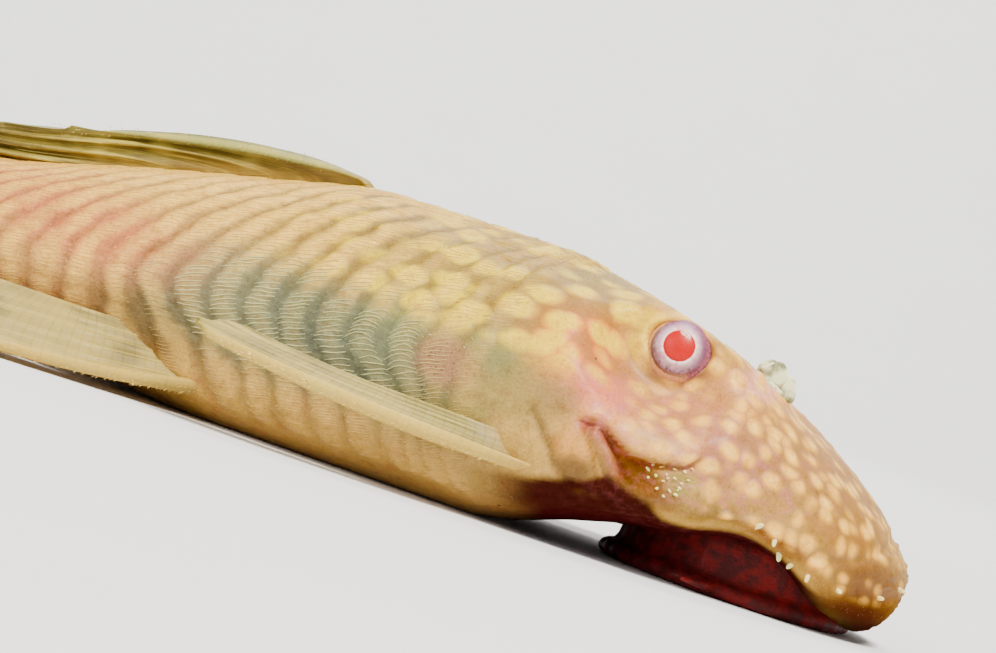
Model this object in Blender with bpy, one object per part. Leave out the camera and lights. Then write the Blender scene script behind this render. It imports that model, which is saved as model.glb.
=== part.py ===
"""An albino bristlenose catfish, life size, resting on its belly with its fins folded back.

The body is one lofted form, parted by thin cuts into head, trunk and tail stalk, with rows of bony
plates raised on it. Sizes are in millimetres and become metres as a mesh is made. Distances
along the fish are measured behind the tip of the snout, y is to the fish's left and z is up from
what it rests on.
"""

import math
import random

import bmesh
import bpy
from mathutils import Matrix, Vector

MM = 0.001
MERGE = 1e-6
SHARP_DEGREES = 50
SOLVER = "MANIFOLD"  # EXACT leaves the head touching itself along an edge

# Whole fish
STANDARD_LENGTH = 90.0  # snout to the root of the tail fin
SNOUT_X = 58.5  # the snout's place, which centres the whole fish on x = 0
GAP = 0.3  # between pieces that touch
SWAY_START = 60.0  # behind here the tail swings to the fish's left
SWAY_END = 118.0
SWAY = 4.0

# Side and top outlines of the body: (distance behind the snout, size)
BACK = ((0, 4.2), (1.1, 6.2), (4, 8.9), (9, 11.9), (14, 14.2), (20, 16.0), (27, 17.05), (38, 16.9),
        (46, 15.2), (54, 13.2), (62.5, 10.9), (70, 9.9), (80, 9.5), (90, 10.0))
BELLY = ((0, 4.2), (0.5, 2.1), (1.3, 1.0), (2.5, 0.4), (4.5, 0.7), (6.5, 1.5), (9, 2.6), (17, 2.5),
         (21, 1.6), (25, 0.3), (28, -0.2), (44, -0.2), (54, 0.6), (62, 1.4), (70, 1.8), (80, 1.5), (90, 0.9))
HALF_WIDTH = ((0, 0), (1, 5.2), (2.5, 7.9), (5, 10.3), (9, 12.3), (14, 13.7), (19, 14.4), (24, 14.5),
              (30, 13.5), (38, 11.9), (46, 10.2), (54, 8.6), (62, 6.9), (70, 5.0), (80, 3.2), (90, 2.3))
WIDEST_Z = ((0, 4.2), (4, 3.9), (9, 5.3), (14, 5.6), (20, 5.7), (30, 5.3), (45, 5.0), (60, 5.3), (75, 5.7),
            (90, 5.5))
UPPER_ROUND = ((0, 2.0), (8, 2.05), (18, 2.8), (30, 2.15), (45, 1.9), (70, 2.0), (90, 2.1))
LOWER_ROUND = ((0, 2.0), (6, 2.6), (12, 3.2), (28, 3.4), (46, 3.2), (62, 2.4), (90, 2.1))

# Plates: rows round each side, in degrees from the back down, and files along the body
PLATE_ROWS = (0, 26, 64, 90, 110, 128)
PLATE_START = 29.0
PLATE_END = 89.0
PLATE_FILES = 22
PLATE_SHORTENING = 0.72  # the last plate's length over the first one's
PLATE_HEIGHT = 0.34
PLATE_STEP = 0.3  # the length of the drop behind a plate's raised edge
CHEVRON_APEX = 78.0  # the degree where each file of plates points back
CHEVRON_SWEEP = 6.0  # how far the file's upper end leads its apex
CHEVRON_BEND = 1.8  # over 1 the files curve: upright at mid-height and swept at the back
SWEEP_FROM = 20.0
SWEEP_TO = 80.0
SWEEP_BLEND = 12.0

# Cuts between the body's nodes
HEAD_END = 28.0
TRUNK_END = 63.0
HEAD_RINGS = 26
HEAD_CROWDING = 1.6
HEAD_COLUMNS = 52

# Eye
EYE_BEHIND = 18.5
EYE_SIDE = 9.2
EYE_Z = 13.5
EYE_RADIUS = 2.15
EYE_UP_DEGREES = 13.0
EYE_FORWARD_DEGREES = -3.0
ORBIT_RIM = 2.45
ORBIT_HEIGHT = 0.45
ORBIT_LEVEL = 0.1  # the skin's level at the eye, along the gaze from its centre
ORBIT_REACH = 4.0
ORBIT_BLEND = 2.6
IRIS_RADIUS = 1.35
EYE_SEGMENTS = 16
EYE_RINGS = 10
LENS_PROFILE = ((0.55, 0.9), (1.0, 0.88), (1.0, 0.93), (0.6, 1.03), (0.27, 1.08))

# Nostril
NOSTRIL_BEHIND = 12.2
NOSTRIL_SIDE = 3.3
NOSTRIL_RADIUS = 0.8
FLAP_HEIGHT = 1.9
FLAP_THICK = 0.55
FLAP_SUNK = 0.8
FLAP_HALF_DEGREES = 80.0

# Bristles along the snout's edge
BRISTLE_LOW_POINT = 4.7
BRISTLE_LOW_Z = 2.9
BRISTLE_LENGTH = 1.3
BRISTLE_FIRST = 0.9
BRISTLE_LAST = 10.6
BRISTLES_A_SIDE = 8

# Mouth disc
DISC_CENTRE = 10.8
DISC_HALF_LENGTH = 8.2
DISC_HALF_WIDTH = 9.4
DISC_FLARE = 1.1  # the height of the flared rim
DISC_NECK = 0.88  # the neck's share of the way from mouth to rim
DISC_SHOULDER = 1.45
DISC_TOP = 3.6
MOUTH_BEHIND = 8.6
MOUTH_HALF_WIDTH = 4.0
MOUTH_HALF_LENGTH = 1.7
MOUTH_CEILING = 1.3
BARBEL_LENGTH = 3.0

# Cheek: the plate's lower edge, the hollow below it and the gill slit, as (behind, height)
CHEEK_EDGE = ((15.8, 7.6), (17.4, 7.4), (18.8, 7.3), (19.8, 7.6), (20.8, 8.2), (22.4, 8.6))
CHEEK_POCKET = (17.2, 6.1)
CHEEK_POCKET_SIZE = (2.0, 1.3)
CHEEK_POCKET_DEPTH = 0.7
SPINES_A_CHEEK = 8
CHEEK_SPINE_FIRST = 15.3
CHEEK_SPINE_PITCH = 0.62
CHEEK_SPINE_Z = 6.2
GILL_SLIT = ((22.8, 8.1), (21.5, 7.4), (20.4, 6.3), (19.5, 5.0), (18.7, 3.6), (18.2, 2.6))
GILL_SLIT_RADIUS = 0.5
GILL_PARTS = 4  # stretches between two points of the slit

# Shoulder, the pale bulge that carries the pectoral fin
SHOULDER = (23.4, 6.0)
SHOULDER_SIZE = (1.7, 2.6)
SHOULDER_HEIGHT = 0.5

# Dorsal fin: folded back, its rays stacked one above the next
DORSAL_START = 39.0
DORSAL_PITCH = 2.9
DORSAL_LENGTHS = (24.0, 25.0, 24.5, 23.0, 21.0, 18.5, 15.5, 12.5)
DORSAL_TOP = 2.55
DORSAL_STACK = 0.28
DORSAL_RISE = 5.5
DORSAL_PLEAT = 0.22

# Anal fin: folded back under the tail stalk
ANAL_START = 63.8
ANAL_PITCH = 0.9
ANAL_LENGTHS = (8.5, 9.5, 9.5, 8.5, 7.0)
ANAL_DROP = 1.15
ANAL_STACK = 0.17
ANAL_RISE = 1.6

# Tail fin: half spread, standing on its lower edge
CAUDAL_RAYS = 14
CAUDAL_ROOT_LOW = 2.0
CAUDAL_ROOT_HIGH = 9.1
CAUDAL_LOW_DEGREES = -1.5
CAUDAL_HIGH_DEGREES = 20.0
CAUDAL_LOW_LENGTH = 27.0
CAUDAL_MIDDLE_LENGTH = 22.5
CAUDAL_HIGH_LENGTH = 25.0
CAUDAL_PLEAT = 0.2

# Adipose fin: root and tip behind the snout, how deep it is rooted and how high it stands
ADIPOSE_SPINE = (75.0, 80.2, 0.8, 3.0)
ADIPOSE_SAIL = (77.6, 81.6, 0.9, 0.8)

# Paired fins: roots, middles and tips of the spine and of the innermost ray, each as (behind, out to
# the side, height), then the number of rays, how far the middle rays outreach the line between the
# outer tips, and the spine's half thickness
PAIRED_FINS = {
    "pectoral": (((22.4, 14.1, 4.7), (24.6, 13.6, 6.6)), ((34.5, 16.4, 3.9), (35.5, 14.1, 6.4)),
                 ((46.0, 15.0, 5.1), (44.0, 12.3, 6.5)), 7, 1.6, 0.8),
    "pelvic": (((43.6, 8.6, 2.3), (46.8, 7.4, 3.9)), ((52.6, 12.6, 0.95), (54.0, 9.6, 4.2)),
               ((64.0, 16.8, 0.7), (61.6, 9.2, 4.0)), 6, 2.2, 0.65),
}
SPINE_HALF = 0.5  # half the width of a fin's spine
ROOT_DEPTH = 1.4  # how deep a ray is rooted in the body before the gap is cut

SKIN_COLOUR = (0.80, 0.60, 0.38, 1.0)
BODY_COLOUR = (0.78, 0.64, 0.40, 1.0)
FIN_COLOUR = (0.72, 0.60, 0.32, 1.0)
LIP_COLOUR = (0.62, 0.26, 0.16, 1.0)
IRIS_COLOUR = (0.78, 0.36, 0.36, 1.0)


def clear_scene():
    for old in list(bpy.data.objects):
        bpy.data.objects.remove(old, do_unlink=True)


def material(name, colour, roughness):
    made = bpy.data.materials.new(name)
    made.use_nodes = True
    shader = made.node_tree.nodes["Principled BSDF"]
    shader.inputs["Base Color"].default_value = colour
    shader.inputs["Roughness"].default_value = roughness
    shader.inputs["Metallic"].default_value = 0.0
    return made


def eased(x):
    """0 to 1, smoothly, as x goes from 0 to 1."""
    x = min(1.0, max(0.0, x))
    return x * x * (3 - 2 * x)


def along(profile, behind):
    """A profile's size at a place, by a smooth curve that is blunt at the snout."""
    xs = [math.sqrt(place) for place, _ in profile]
    ys = [size for _, size in profile]
    x = math.sqrt(min(max(behind, profile[0][0]), profile[-1][0]))
    slopes = [(ys[i + 1] - ys[i]) / (xs[i + 1] - xs[i]) for i in range(len(xs) - 1)]
    tangents = [slopes[0]]
    for before, after in zip(slopes, slopes[1:]):
        agree = before * after > 0
        tangents.append(2 * before * after / (before + after) if agree else 0.0)
    tangents.append(slopes[-1])
    i = max(k for k in range(len(xs) - 1) if xs[k] <= x or k == 0)
    span = xs[i + 1] - xs[i]
    u = (x - xs[i]) / span
    return ((1 + 2 * u) * (1 - u) ** 2 * ys[i] + u * (1 - u) ** 2 * span * tangents[i]
            + u * u * (3 - 2 * u) * ys[i + 1] + u * u * (u - 1) * span * tangents[i + 1])


def sway(behind):
    """How far the tail has swung to the left here."""
    return SWAY * max(0.0, (behind - SWAY_START) / (SWAY_END - SWAY_START)) ** 2


def row_x(behind):
    return SNOUT_X - behind


def section_point(behind, degrees):
    """A point of the body's smooth surface. 0 degrees is the back, 90 its right side, 180 the belly."""
    angle = math.radians(degrees)
    half_width = along(HALF_WIDTH, behind)
    widest = along(WIDEST_Z, behind)
    if math.cos(angle) >= 0:
        reach = along(BACK, behind) - widest
        power = 2 / along(UPPER_ROUND, behind)
    else:
        reach = widest - along(BELLY, behind)
        power = 2 / along(LOWER_ROUND, behind)
    across = math.copysign(abs(math.sin(angle)) ** power, math.sin(angle))
    up = math.copysign(abs(math.cos(angle)) ** power, math.cos(angle))
    return Vector((row_x(behind), sway(behind) - half_width * across, widest + reach * up))


def chevron(degrees):
    """0 at the apex of a file of plates, rising to 1 at the back."""
    from_back = min(degrees, 360 - degrees, PLATE_ROWS[-1])
    return (abs(from_back - CHEVRON_APEX) / CHEVRON_APEX) ** CHEVRON_BEND


def swept(place, degrees):
    """The distance behind the snout of a file's place at this angle."""
    strength = eased((place - SWEEP_FROM) / SWEEP_BLEND) * (1 - eased((place - SWEEP_TO) / SWEEP_BLEND))
    return place - CHEVRON_SWEEP * strength * chevron(degrees)


def surface(place, degrees):
    return section_point(swept(place, degrees), degrees)


def normal_at(place, degrees):
    step = 0.05
    fore = surface(max(place - step, 0.02), degrees)
    aft = surface(place + step, degrees)
    up = surface(place, degrees - 1.0)
    down = surface(place, degrees + 1.0)
    facing = (up - down).cross(aft - fore)
    return facing.normalized() if facing.length > 1e-9 else Vector((1, 0, 0))


def plate_relief(place, degrees):
    """How far the plates raise the skin: each rises backwards, then drops to the next."""
    from_back = min(degrees, 360 - degrees)
    if not PLATE_START <= place <= PLATE_END or from_back >= PLATE_ROWS[-1]:
        return 0.0
    row = max(i for i in range(len(PLATE_ROWS) - 1) if PLATE_ROWS[i] <= from_back)
    across = (from_back - PLATE_ROWS[row]) / (PLATE_ROWS[row + 1] - PLATE_ROWS[row])
    edges = PLATE_EDGES
    file = max(i for i in range(len(edges) - 1) if edges[i] <= place + 1e-6)
    if file == len(edges) - 2 and place >= edges[-1] - 1e-6:
        return 0.0
    lengthwise = (place - edges[file]) / (edges[file + 1] - PLATE_STEP - edges[file])
    rise = lengthwise if lengthwise <= 1 else max(0.0, (edges[file + 1] - place) / PLATE_STEP)
    groove = eased(min(across, 1 - across) / 0.22)
    if row == 0:
        groove = eased((1 - across) / 0.22)
    return PLATE_HEIGHT * (0.25 + 0.75 * rise) * groove * (rise > 0)


def plate_edges():
    ratio = PLATE_SHORTENING ** (1 / (PLATE_FILES - 1))
    first = (PLATE_END - PLATE_START) * (1 - ratio) / (1 - ratio ** PLATE_FILES)
    edges = [PLATE_START]
    for file in range(PLATE_FILES):
        edges.append(edges[-1] + first * ratio ** file)
    return edges


PLATE_EDGES = plate_edges()


def eye_centre(side):
    return Vector((row_x(EYE_BEHIND), side * EYE_SIDE, EYE_Z))


def eye_gaze(side):
    up = math.radians(EYE_UP_DEGREES)
    forward = math.radians(EYE_FORWARD_DEGREES)
    return Vector((math.cos(up) * math.sin(forward), side * math.cos(up) * math.cos(forward), math.sin(up)))


def line_distance(point, line):
    """The distance in the side view from (behind, height) to a chain of points."""
    best = 1e9
    for (ax, az), (bx, bz) in zip(line, line[1:]):
        length2 = (bx - ax) ** 2 + (bz - az) ** 2
        t = ((point[0] - ax) * (bx - ax) + (point[1] - az) * (bz - az)) / length2
        t = min(1.0, max(0.0, t))
        best = min(best, math.hypot(point[0] - ax - t * (bx - ax), point[1] - az - t * (bz - az)))
    return best


def head_relief(point):
    """The orbits' raised rims, the cheek plate's edge and the hollow under it."""
    side = 1 if point.y > 0 else -1
    behind = SNOUT_X - point.x
    centre = eye_centre(side) + eye_gaze(side) * EYE_RADIUS * 0.4
    away = (point - centre).length
    lift = ORBIT_HEIGHT * math.exp(-((away - ORBIT_RIM) / 1.1) ** 2)
    if abs(point.y) > 6 and point.z < 10:
        pocket = math.hypot((behind - CHEEK_POCKET[0]) / CHEEK_POCKET_SIZE[0],
                            (point.z - CHEEK_POCKET[1]) / CHEEK_POCKET_SIZE[1])
        lift -= CHEEK_POCKET_DEPTH * math.exp(-pocket ** 4)
        lift += 0.25 * math.exp(-(line_distance((behind, point.z), CHEEK_EDGE) / 0.6) ** 2)
        shoulder = math.hypot((behind - SHOULDER[0]) / SHOULDER_SIZE[0],
                              (point.z - SHOULDER[1]) / SHOULDER_SIZE[1])
        lift += SHOULDER_HEIGHT * math.exp(-shoulder ** 4)
    return lift


def orbit_turned(point):
    """Moves the skin round each eye sideways, to face the way that the eye does."""
    side = 1 if point.y > 0 else -1
    gaze = eye_gaze(side)
    away = point - eye_centre(side)
    out = away.dot(gaze)
    across = (away - gaze * out).length
    share = 1 - eased((across - ORBIT_RIM) / ORBIT_BLEND)
    share *= 1 - eased((abs(out) - ORBIT_REACH) / ORBIT_BLEND)
    return point + Vector((0, (ORBIT_LEVEL - out) * share / gaze.y, 0))


def resting(point):
    """Flattens what would reach below the level that the fish rests on."""
    return Vector((point.x, point.y, max(point.z, 0.0)))


def finished(name, edit, finish=None):
    """Makes an object of a bmesh, with its faces pointing outwards and shaded smooth."""
    bmesh.ops.remove_doubles(edit, verts=edit.verts, dist=MERGE)
    bmesh.ops.recalc_face_normals(edit, faces=edit.faces)
    if edit.calc_volume(signed=True) < 0:
        bmesh.ops.reverse_faces(edit, faces=edit.faces)
    mesh = bpy.data.meshes.new(name)
    edit.to_mesh(mesh)
    edit.free()
    mesh.shade_smooth()
    if finish:
        mesh.materials.append(finish)
    made = bpy.data.objects.new(name, mesh)
    bpy.context.scene.collection.objects.link(made)
    return made


def loft(name, rings, finish=None, tip=None):
    """A closed body through rings of points, with a fan of faces over each end."""
    edit = bmesh.new()
    loops = [[edit.verts.new(point * MM) for point in ring] for ring in rings]
    count = len(rings[0])
    for fore, aft in zip(loops, loops[1:]):
        for k in range(count):
            after = (k + 1) % count
            edit.faces.new((fore[k], fore[after], aft[after]))
            edit.faces.new((fore[k], aft[after], aft[k]))
    for loop, ring, centre in ((loops[0], rings[0], tip), (loops[-1], rings[-1], None)):
        hub = edit.verts.new((centre or sum(ring, Vector()) / count) * MM)
        for k in range(count):
            edit.faces.new((hub, loop[k], loop[(k + 1) % count]))
    return finished(name, edit, finish)


def spike(name, line, radii, roundness=0):
    """A bent spike of 4 + 2 * roundness sides along a line of points, from a bevelled curve."""
    curve = bpy.data.curves.new(name, "CURVE")
    curve.dimensions = "3D"
    curve.bevel_depth = MM
    curve.bevel_resolution = roundness
    curve.use_fill_caps = True
    strand = curve.splines.new("POLY")
    strand.points.add(len(line) - 1)
    for point, place, radius in zip(strand.points, line, radii):
        point.co = (*(place * MM), 1.0)
        point.radius = radius
    guide = bpy.data.objects.new(name, curve)
    mesh = bpy.data.meshes.new_from_object(guide)
    edit = bmesh.new()
    edit.from_mesh(mesh)
    bpy.data.objects.remove(guide, do_unlink=True)
    bpy.data.meshes.remove(mesh)
    return finished(name, edit)


def body_ring(place, degrees, plates, lift=0.0):
    ring = []
    for angle in degrees:
        point = surface(place, angle)
        rise = plate_relief(place, angle) if plates else head_relief(point)
        moved = orbit_turned(point + normal_at(place, angle) * (rise + lift))
        ring.append(moved if lift else resting(moved))
    return ring


def applied(target):
    """Bakes an object's modifiers into its mesh and keeps its largest closed surface."""
    graph = bpy.context.evaluated_depsgraph_get()
    graph.update()
    mesh = bpy.data.meshes.new_from_object(target.evaluated_get(graph))
    target.modifiers.clear()
    old = target.data
    target.data = mesh
    bpy.data.meshes.remove(old)
    keep_largest(target)
    mesh.shade_smooth()
    mesh.set_sharp_from_angle(angle=math.radians(SHARP_DEGREES))
    return target


def keep_largest(target):
    edit = bmesh.new()
    edit.from_mesh(target.data)
    bmesh.ops.remove_doubles(edit, verts=edit.verts, dist=MERGE)
    unseen = set(edit.faces)
    islands = []
    while unseen:
        island = [unseen.pop()]
        for face in island:
            for edge in face.edges:
                for near in edge.link_faces:
                    if near in unseen:
                        unseen.discard(near)
                        island.append(near)
        islands.append(island)
    islands.sort(key=lambda island: sum(face.calc_area() for face in island))
    loose = [face for island in islands[:-1] for face in island]
    bmesh.ops.delete(edit, geom=loose, context="FACES")
    edit.to_mesh(target.data)
    edit.free()


def united(target, pieces):
    """Joins closed pieces to a node by one union on a collection."""
    group = bpy.data.collections.new(target.name + "_pieces")
    for piece in pieces:
        bpy.context.scene.collection.objects.unlink(piece)
        group.objects.link(piece)
    bpy.context.scene.collection.children.link(group)
    union = target.modifiers.new("join", "BOOLEAN")
    union.operation = "UNION"
    union.operand_type = "COLLECTION"
    union.collection = group
    union.solver = SOLVER
    applied(target)
    for piece in pieces:
        bpy.data.objects.remove(piece, do_unlink=True)
    bpy.data.collections.remove(group)
    return target


def carved(target, cutters):
    for cutter in cutters:
        cut = target.modifiers.new("cut", "BOOLEAN")
        cut.operation = "DIFFERENCE"
        cut.object = cutter
        cut.solver = SOLVER
        applied(target)
        bpy.data.objects.remove(cutter, do_unlink=True)
    return target


def plate_places():
    """Ring places along the plates: a low front and a high rear edge, and a middle on the trunk's."""
    places = []
    for front, rear in zip(PLATE_EDGES, PLATE_EDGES[1:]):
        high = rear - PLATE_STEP
        places += [front, (front + high) / 2, high] if front < TRUNK_END else [front, high]
    return places + [PLATE_EDGES[-1], STANDARD_LENGTH]


def plate_angles():
    """Ring angles with a column at each groove between rows and on each plate's shoulders."""
    half = []
    for low, high in zip(PLATE_ROWS, PLATE_ROWS[1:]):
        half += [low + share * (high - low) for share in (0.0, 0.24, 0.76)]
    half += [PLATE_ROWS[-1], 142, 158]
    return half + [180] + [360 - angle for angle in reversed(half[1:])]


def head_places():
    """Ring places on the head, closer together at the snout."""
    return [HEAD_END * ((i + 1) / HEAD_RINGS) ** HEAD_CROWDING for i in range(HEAD_RINGS)]


def head_angles():
    return [i * 360 / HEAD_COLUMNS for i in range(HEAD_COLUMNS)]


def sphere(name, centre, radius, finish=None):
    edit = bmesh.new()
    turned = Matrix.Translation(centre * MM) @ Matrix.Rotation(math.pi / 2, 4, "Y")
    bmesh.ops.create_uvsphere(edit, u_segments=EYE_SEGMENTS, v_segments=EYE_RINGS, radius=radius * MM,
                              matrix=turned)
    return finished(name, edit, finish)


def frame_on(axis):
    """Two unit vectors square to an axis."""
    axis = axis.normalized()
    guide = Vector((0, 0, 1)) if abs(axis.z) < 0.9 else Vector((1, 0, 0))
    first = axis.cross(guide).normalized()
    return first, axis.cross(first).normalized()


def side_place(behind, height, side):
    """The skin's point at this distance and height on one side, with its outward normal."""
    low, high = 20.0, 175.0
    for _ in range(40):
        middle = (low + high) / 2
        if section_point(behind, middle).z > height:
            low = middle
        else:
            high = middle
    point = section_point(behind, low)
    near = section_point(behind, low + 1)
    upper = section_point(behind, low - 1)
    fore = section_point(behind - 0.1, low)
    normal = (upper - near).cross(point - fore).normalized()
    if side > 0:
        return Vector((point.x, -point.y, point.z)), Vector((normal.x, -normal.y, normal.z))
    return point, normal


def snout_bristles():
    """The short soft bristles along the snout's edge: one row on each side."""
    chance = random.Random(7)
    made = []
    for side in (-1, 1):
        for i in range(BRISTLES_A_SIDE):
            share = i / (BRISTLES_A_SIDE - 1)
            behind = BRISTLE_FIRST + (BRISTLE_LAST - BRISTLE_FIRST) * share ** 1.15
            away = behind - BRISTLE_LOW_POINT
            height = BRISTLE_LOW_Z + (0.1 if away < 0 else 0.06) * away * away
            root, normal = side_place(behind, height + 0.2 * chance.uniform(-1, 1), side)
            length = BRISTLE_LENGTH * chance.uniform(0.85, 1.15)
            lean = (normal + Vector((0.1, 0, -0.2))).normalized()
            line = [root - normal * 0.8, root + lean * length * 0.5, root + lean * length]
            made.append(spike(f"bristle{side}{i}", line, (0.34, 0.28, 0.10)))
    return made


def cheek_spines():
    """The hooked spines that lie in the hollow under each cheek plate."""
    chance = random.Random(11)
    made = []
    for side in (-1, 1):
        for i in range(SPINES_A_CHEEK):
            behind = CHEEK_SPINE_FIRST + CHEEK_SPINE_PITCH * i
            height = CHEEK_SPINE_Z + 0.55 * (i % 3) + 0.2 * chance.uniform(-1, 1)
            root, normal = side_place(behind, height, side)
            sunk = root - normal * (CHEEK_POCKET_DEPTH + 0.7)
            back = Vector((-1.0, 0, -0.25))
            tip = root + (normal * 0.45 + back * 0.9) * chance.uniform(0.8, 1.1)
            line = [sunk, root - normal * 0.1 + back * 0.2, tip]
            made.append(spike(f"cheek{side}{i}", line, (0.32, 0.27, 0.08)))
    return made


def nostril_place(side):
    degrees = math.degrees(math.asin(NOSTRIL_SIDE / along(HALF_WIDTH, NOSTRIL_BEHIND)))
    point = section_point(NOSTRIL_BEHIND, degrees)
    normal = normal_at(NOSTRIL_BEHIND, degrees)
    if side > 0:
        point.y, normal.y = -point.y, -normal.y
    return point, normal


def nostril_flap(side):
    """The curved flap of two lobes that stands round the outer edge of a nostril."""
    place, normal = nostril_place(side)
    back = Vector((-1, 0, 0))
    out = normal.cross(back).normalized() * -side
    back = out.cross(normal).normalized() * side
    rings = []
    for level in range(5):
        share = level / 4
        spread = NOSTRIL_RADIUS * (1.0 + 0.3 * share)
        thick = FLAP_THICK * (1 - 0.35 * share) / 2
        outer, inner = [], []
        for k in range(9):
            turn = FLAP_HALF_DEGREES * (k / 4 - 1)
            notch = math.exp(-(turn / 14) ** 2)
            height = FLAP_HEIGHT * (1 - 0.3 * notch - 0.35 * abs(k / 4 - 1) ** 4)
            lift = normal * (-FLAP_SUNK + (height + FLAP_SUNK) * share)
            aim = out * math.cos(math.radians(turn)) + back * math.sin(math.radians(turn))
            outer.append(place + lift + aim * (spread + thick))
            inner.append(place + lift + aim * (spread - thick))
        rings.append(outer + inner[::-1])
    return loft(f"flap{side}", rings)


def nostril_pit(side):
    place, normal = nostril_place(side)
    line = [place - normal * 1.1, place + normal * 0.9]
    return spike(f"pit{side}", line, (0.35, 0.62), roundness=3)


def gill_cutter(side):
    """A round groove along the gill slit, from the cheek down and under the head."""
    line, radii = [], []
    for (behind, height), (next_behind, next_height) in zip(GILL_SLIT, GILL_SLIT[1:]):
        for part in range(GILL_PARTS):
            share = part / GILL_PARTS
            point, normal = side_place(behind + (next_behind - behind) * share,
                                       height + (next_height - height) * share, side)
            line.append(point + normal * head_relief(point))
            radii.append(GILL_SLIT_RADIUS)
    radii[0] = radii[-1] = GILL_SLIT_RADIUS * 0.5
    return spike(f"gill{side}", line, radii, roundness=2)


def disc_ring(share, height, grow=0.0, count=40):
    """A ring of the mouth disc: share 0 is the mouth's edge and 1 the disc's rim."""
    ring = []
    for k in range(count):
        turn = 2 * math.pi * k / count
        mouth = Vector((row_x(MOUTH_BEHIND) + MOUTH_HALF_LENGTH * math.cos(turn),
                        MOUTH_HALF_WIDTH * math.sin(turn), 0))
        scallop = 1 + 0.015 * math.cos(10 * turn)
        rim = Vector((row_x(DISC_CENTRE) + (DISC_HALF_LENGTH + grow) * math.cos(turn) * scallop,
                      (DISC_HALF_WIDTH + grow) * math.sin(turn) * scallop, 0))
        ring.append(mouth.lerp(rim, share) + Vector((0, 0, height)))
    return ring


def mouth_disc(finish):
    """The round lips that the fish holds on with, hollowed at the mouth, with a barbel at each corner."""
    rings = [disc_ring(-0.12, MOUTH_CEILING), disc_ring(0.0, 0.35), disc_ring(0.16, 0.1),
             disc_ring(0.34, 0.0), disc_ring(0.9, 0.0), disc_ring(0.97, 0.15), disc_ring(1.0, 0.5),
             disc_ring(0.98, DISC_FLARE * 0.8), disc_ring(0.9, DISC_FLARE),
             disc_ring(DISC_NECK, DISC_SHOULDER), disc_ring(DISC_NECK, DISC_TOP), disc_ring(0.4, DISC_TOP)]
    disc = loft("mouth_disc", rings, finish)
    barbels = []
    for side in (-1, 1):
        root = Vector((row_x(DISC_CENTRE + 1.0), side * (DISC_HALF_WIDTH - 0.8), 0.6))
        away = Vector((-0.6, side, 0.05)).normalized()
        bend = root + away * (BARBEL_LENGTH * 0.6)
        tip = root + away * BARBEL_LENGTH + Vector((-0.7, 0, 0))
        barbels.append(spike(f"barbel{side}", [root, bend, tip], (0.5, 0.4, 0.16), roundness=1))
    return united(disc, barbels)


def head(finish):
    rings = [body_ring(place, head_angles(), plates=False) for place in head_places()]
    made = loft("head", rings, finish, tip=Vector((SNOUT_X, 0, BACK[0][1])))
    united(made, [nostril_flap(-1), nostril_flap(1)])
    rooms = ((0.3, DISC_TOP + GAP), (DISC_NECK, DISC_TOP + GAP), (DISC_NECK, DISC_SHOULDER + GAP),
             (1.0, DISC_FLARE + GAP), (1.0, -1.0), (0.3, -1.0))
    cutters = [loft("disc_room", [disc_ring(*room, GAP) for room in rooms])]
    for side in (-1, 1):
        cutters.append(sphere(f"socket{side}", eye_centre(side), EYE_RADIUS + GAP))
        cutters.append(nostril_pit(side))
        cutters.append(gill_cutter(side))
    carved(made, cutters)
    return united(made, snout_bristles() + cheek_spines())


def trunk_and_tail(finish):
    places = plate_places()
    trunk_places = [HEAD_END + GAP] + [p for p in places if p < TRUNK_END - 0.2] + [TRUNK_END]
    tail_places = [TRUNK_END + GAP] + [p for p in places if p > TRUNK_END + 0.5]
    for name, stretch in (("trunk", trunk_places), ("tail_stalk", tail_places)):
        rings = [body_ring(p, plate_angles(), plates=PLATE_START <= p < PLATE_END) for p in stretch]
        loft(name, rings, finish)


def body_cutter():
    """The whole body, larger by the gap, which trims each fin's root."""
    places = [p for p in head_places() if p > GAP] + plate_places()
    rings = [body_ring(p, plate_angles(), plates=p >= PLATE_START, lift=GAP) for p in places]
    return loft("body_cutter", rings)


def eye(side, finish):
    """An eyeball with the iris's step and a low lens on its front."""
    made = sphere("eye_left" if side > 0 else "eye_right", eye_centre(side), EYE_RADIUS, finish)
    gaze = eye_gaze(side)
    first, second = frame_on(gaze)
    rings = []
    for reach, out in LENS_PROFILE:
        hub = eye_centre(side) + gaze * EYE_RADIUS * out
        rings.append([hub + (first * math.cos(turn) + second * math.sin(turn)) * reach * IRIS_RADIUS
                      for turn in (2 * math.pi * k / EYE_SEGMENTS for k in range(EYE_SEGMENTS))])
    return united(made, [loft("lens", rings)])


def fin_entries(rays, i, t, thick, crest, half, edge_level):
    """Ray i's three columns at share t of its length, each a place, a normal and a half thickness."""
    centre = rays[i](t)
    ahead = (rays[i](min(1.0, t + 0.02)) - rays[i](max(0.0, t - 0.02))).normalized()
    beside = [rays[near](t) if 0 <= near < len(rays) else None for near in (i - 1, i + 1)]
    across = (beside[1] or centre) - (beside[0] or centre)
    normal = across.cross(ahead).normalized()
    outward = ahead.cross(normal).normalized()
    if outward.dot(across) < 0:
        outward = -outward
    shoulders = []
    for way, near in zip((-1, 1), beside):
        if near is None:
            shoulders.append((centre + outward * way * half, normal, crest * edge_level))
        else:
            share = min(0.3, half / max((near - centre).length, MERGE))
            shoulders.append((centre.lerp(near, share), normal, thick + (crest - thick) * 0.12))
    return [shoulders[0], (centre, normal, crest), shoulders[1]]


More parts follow.
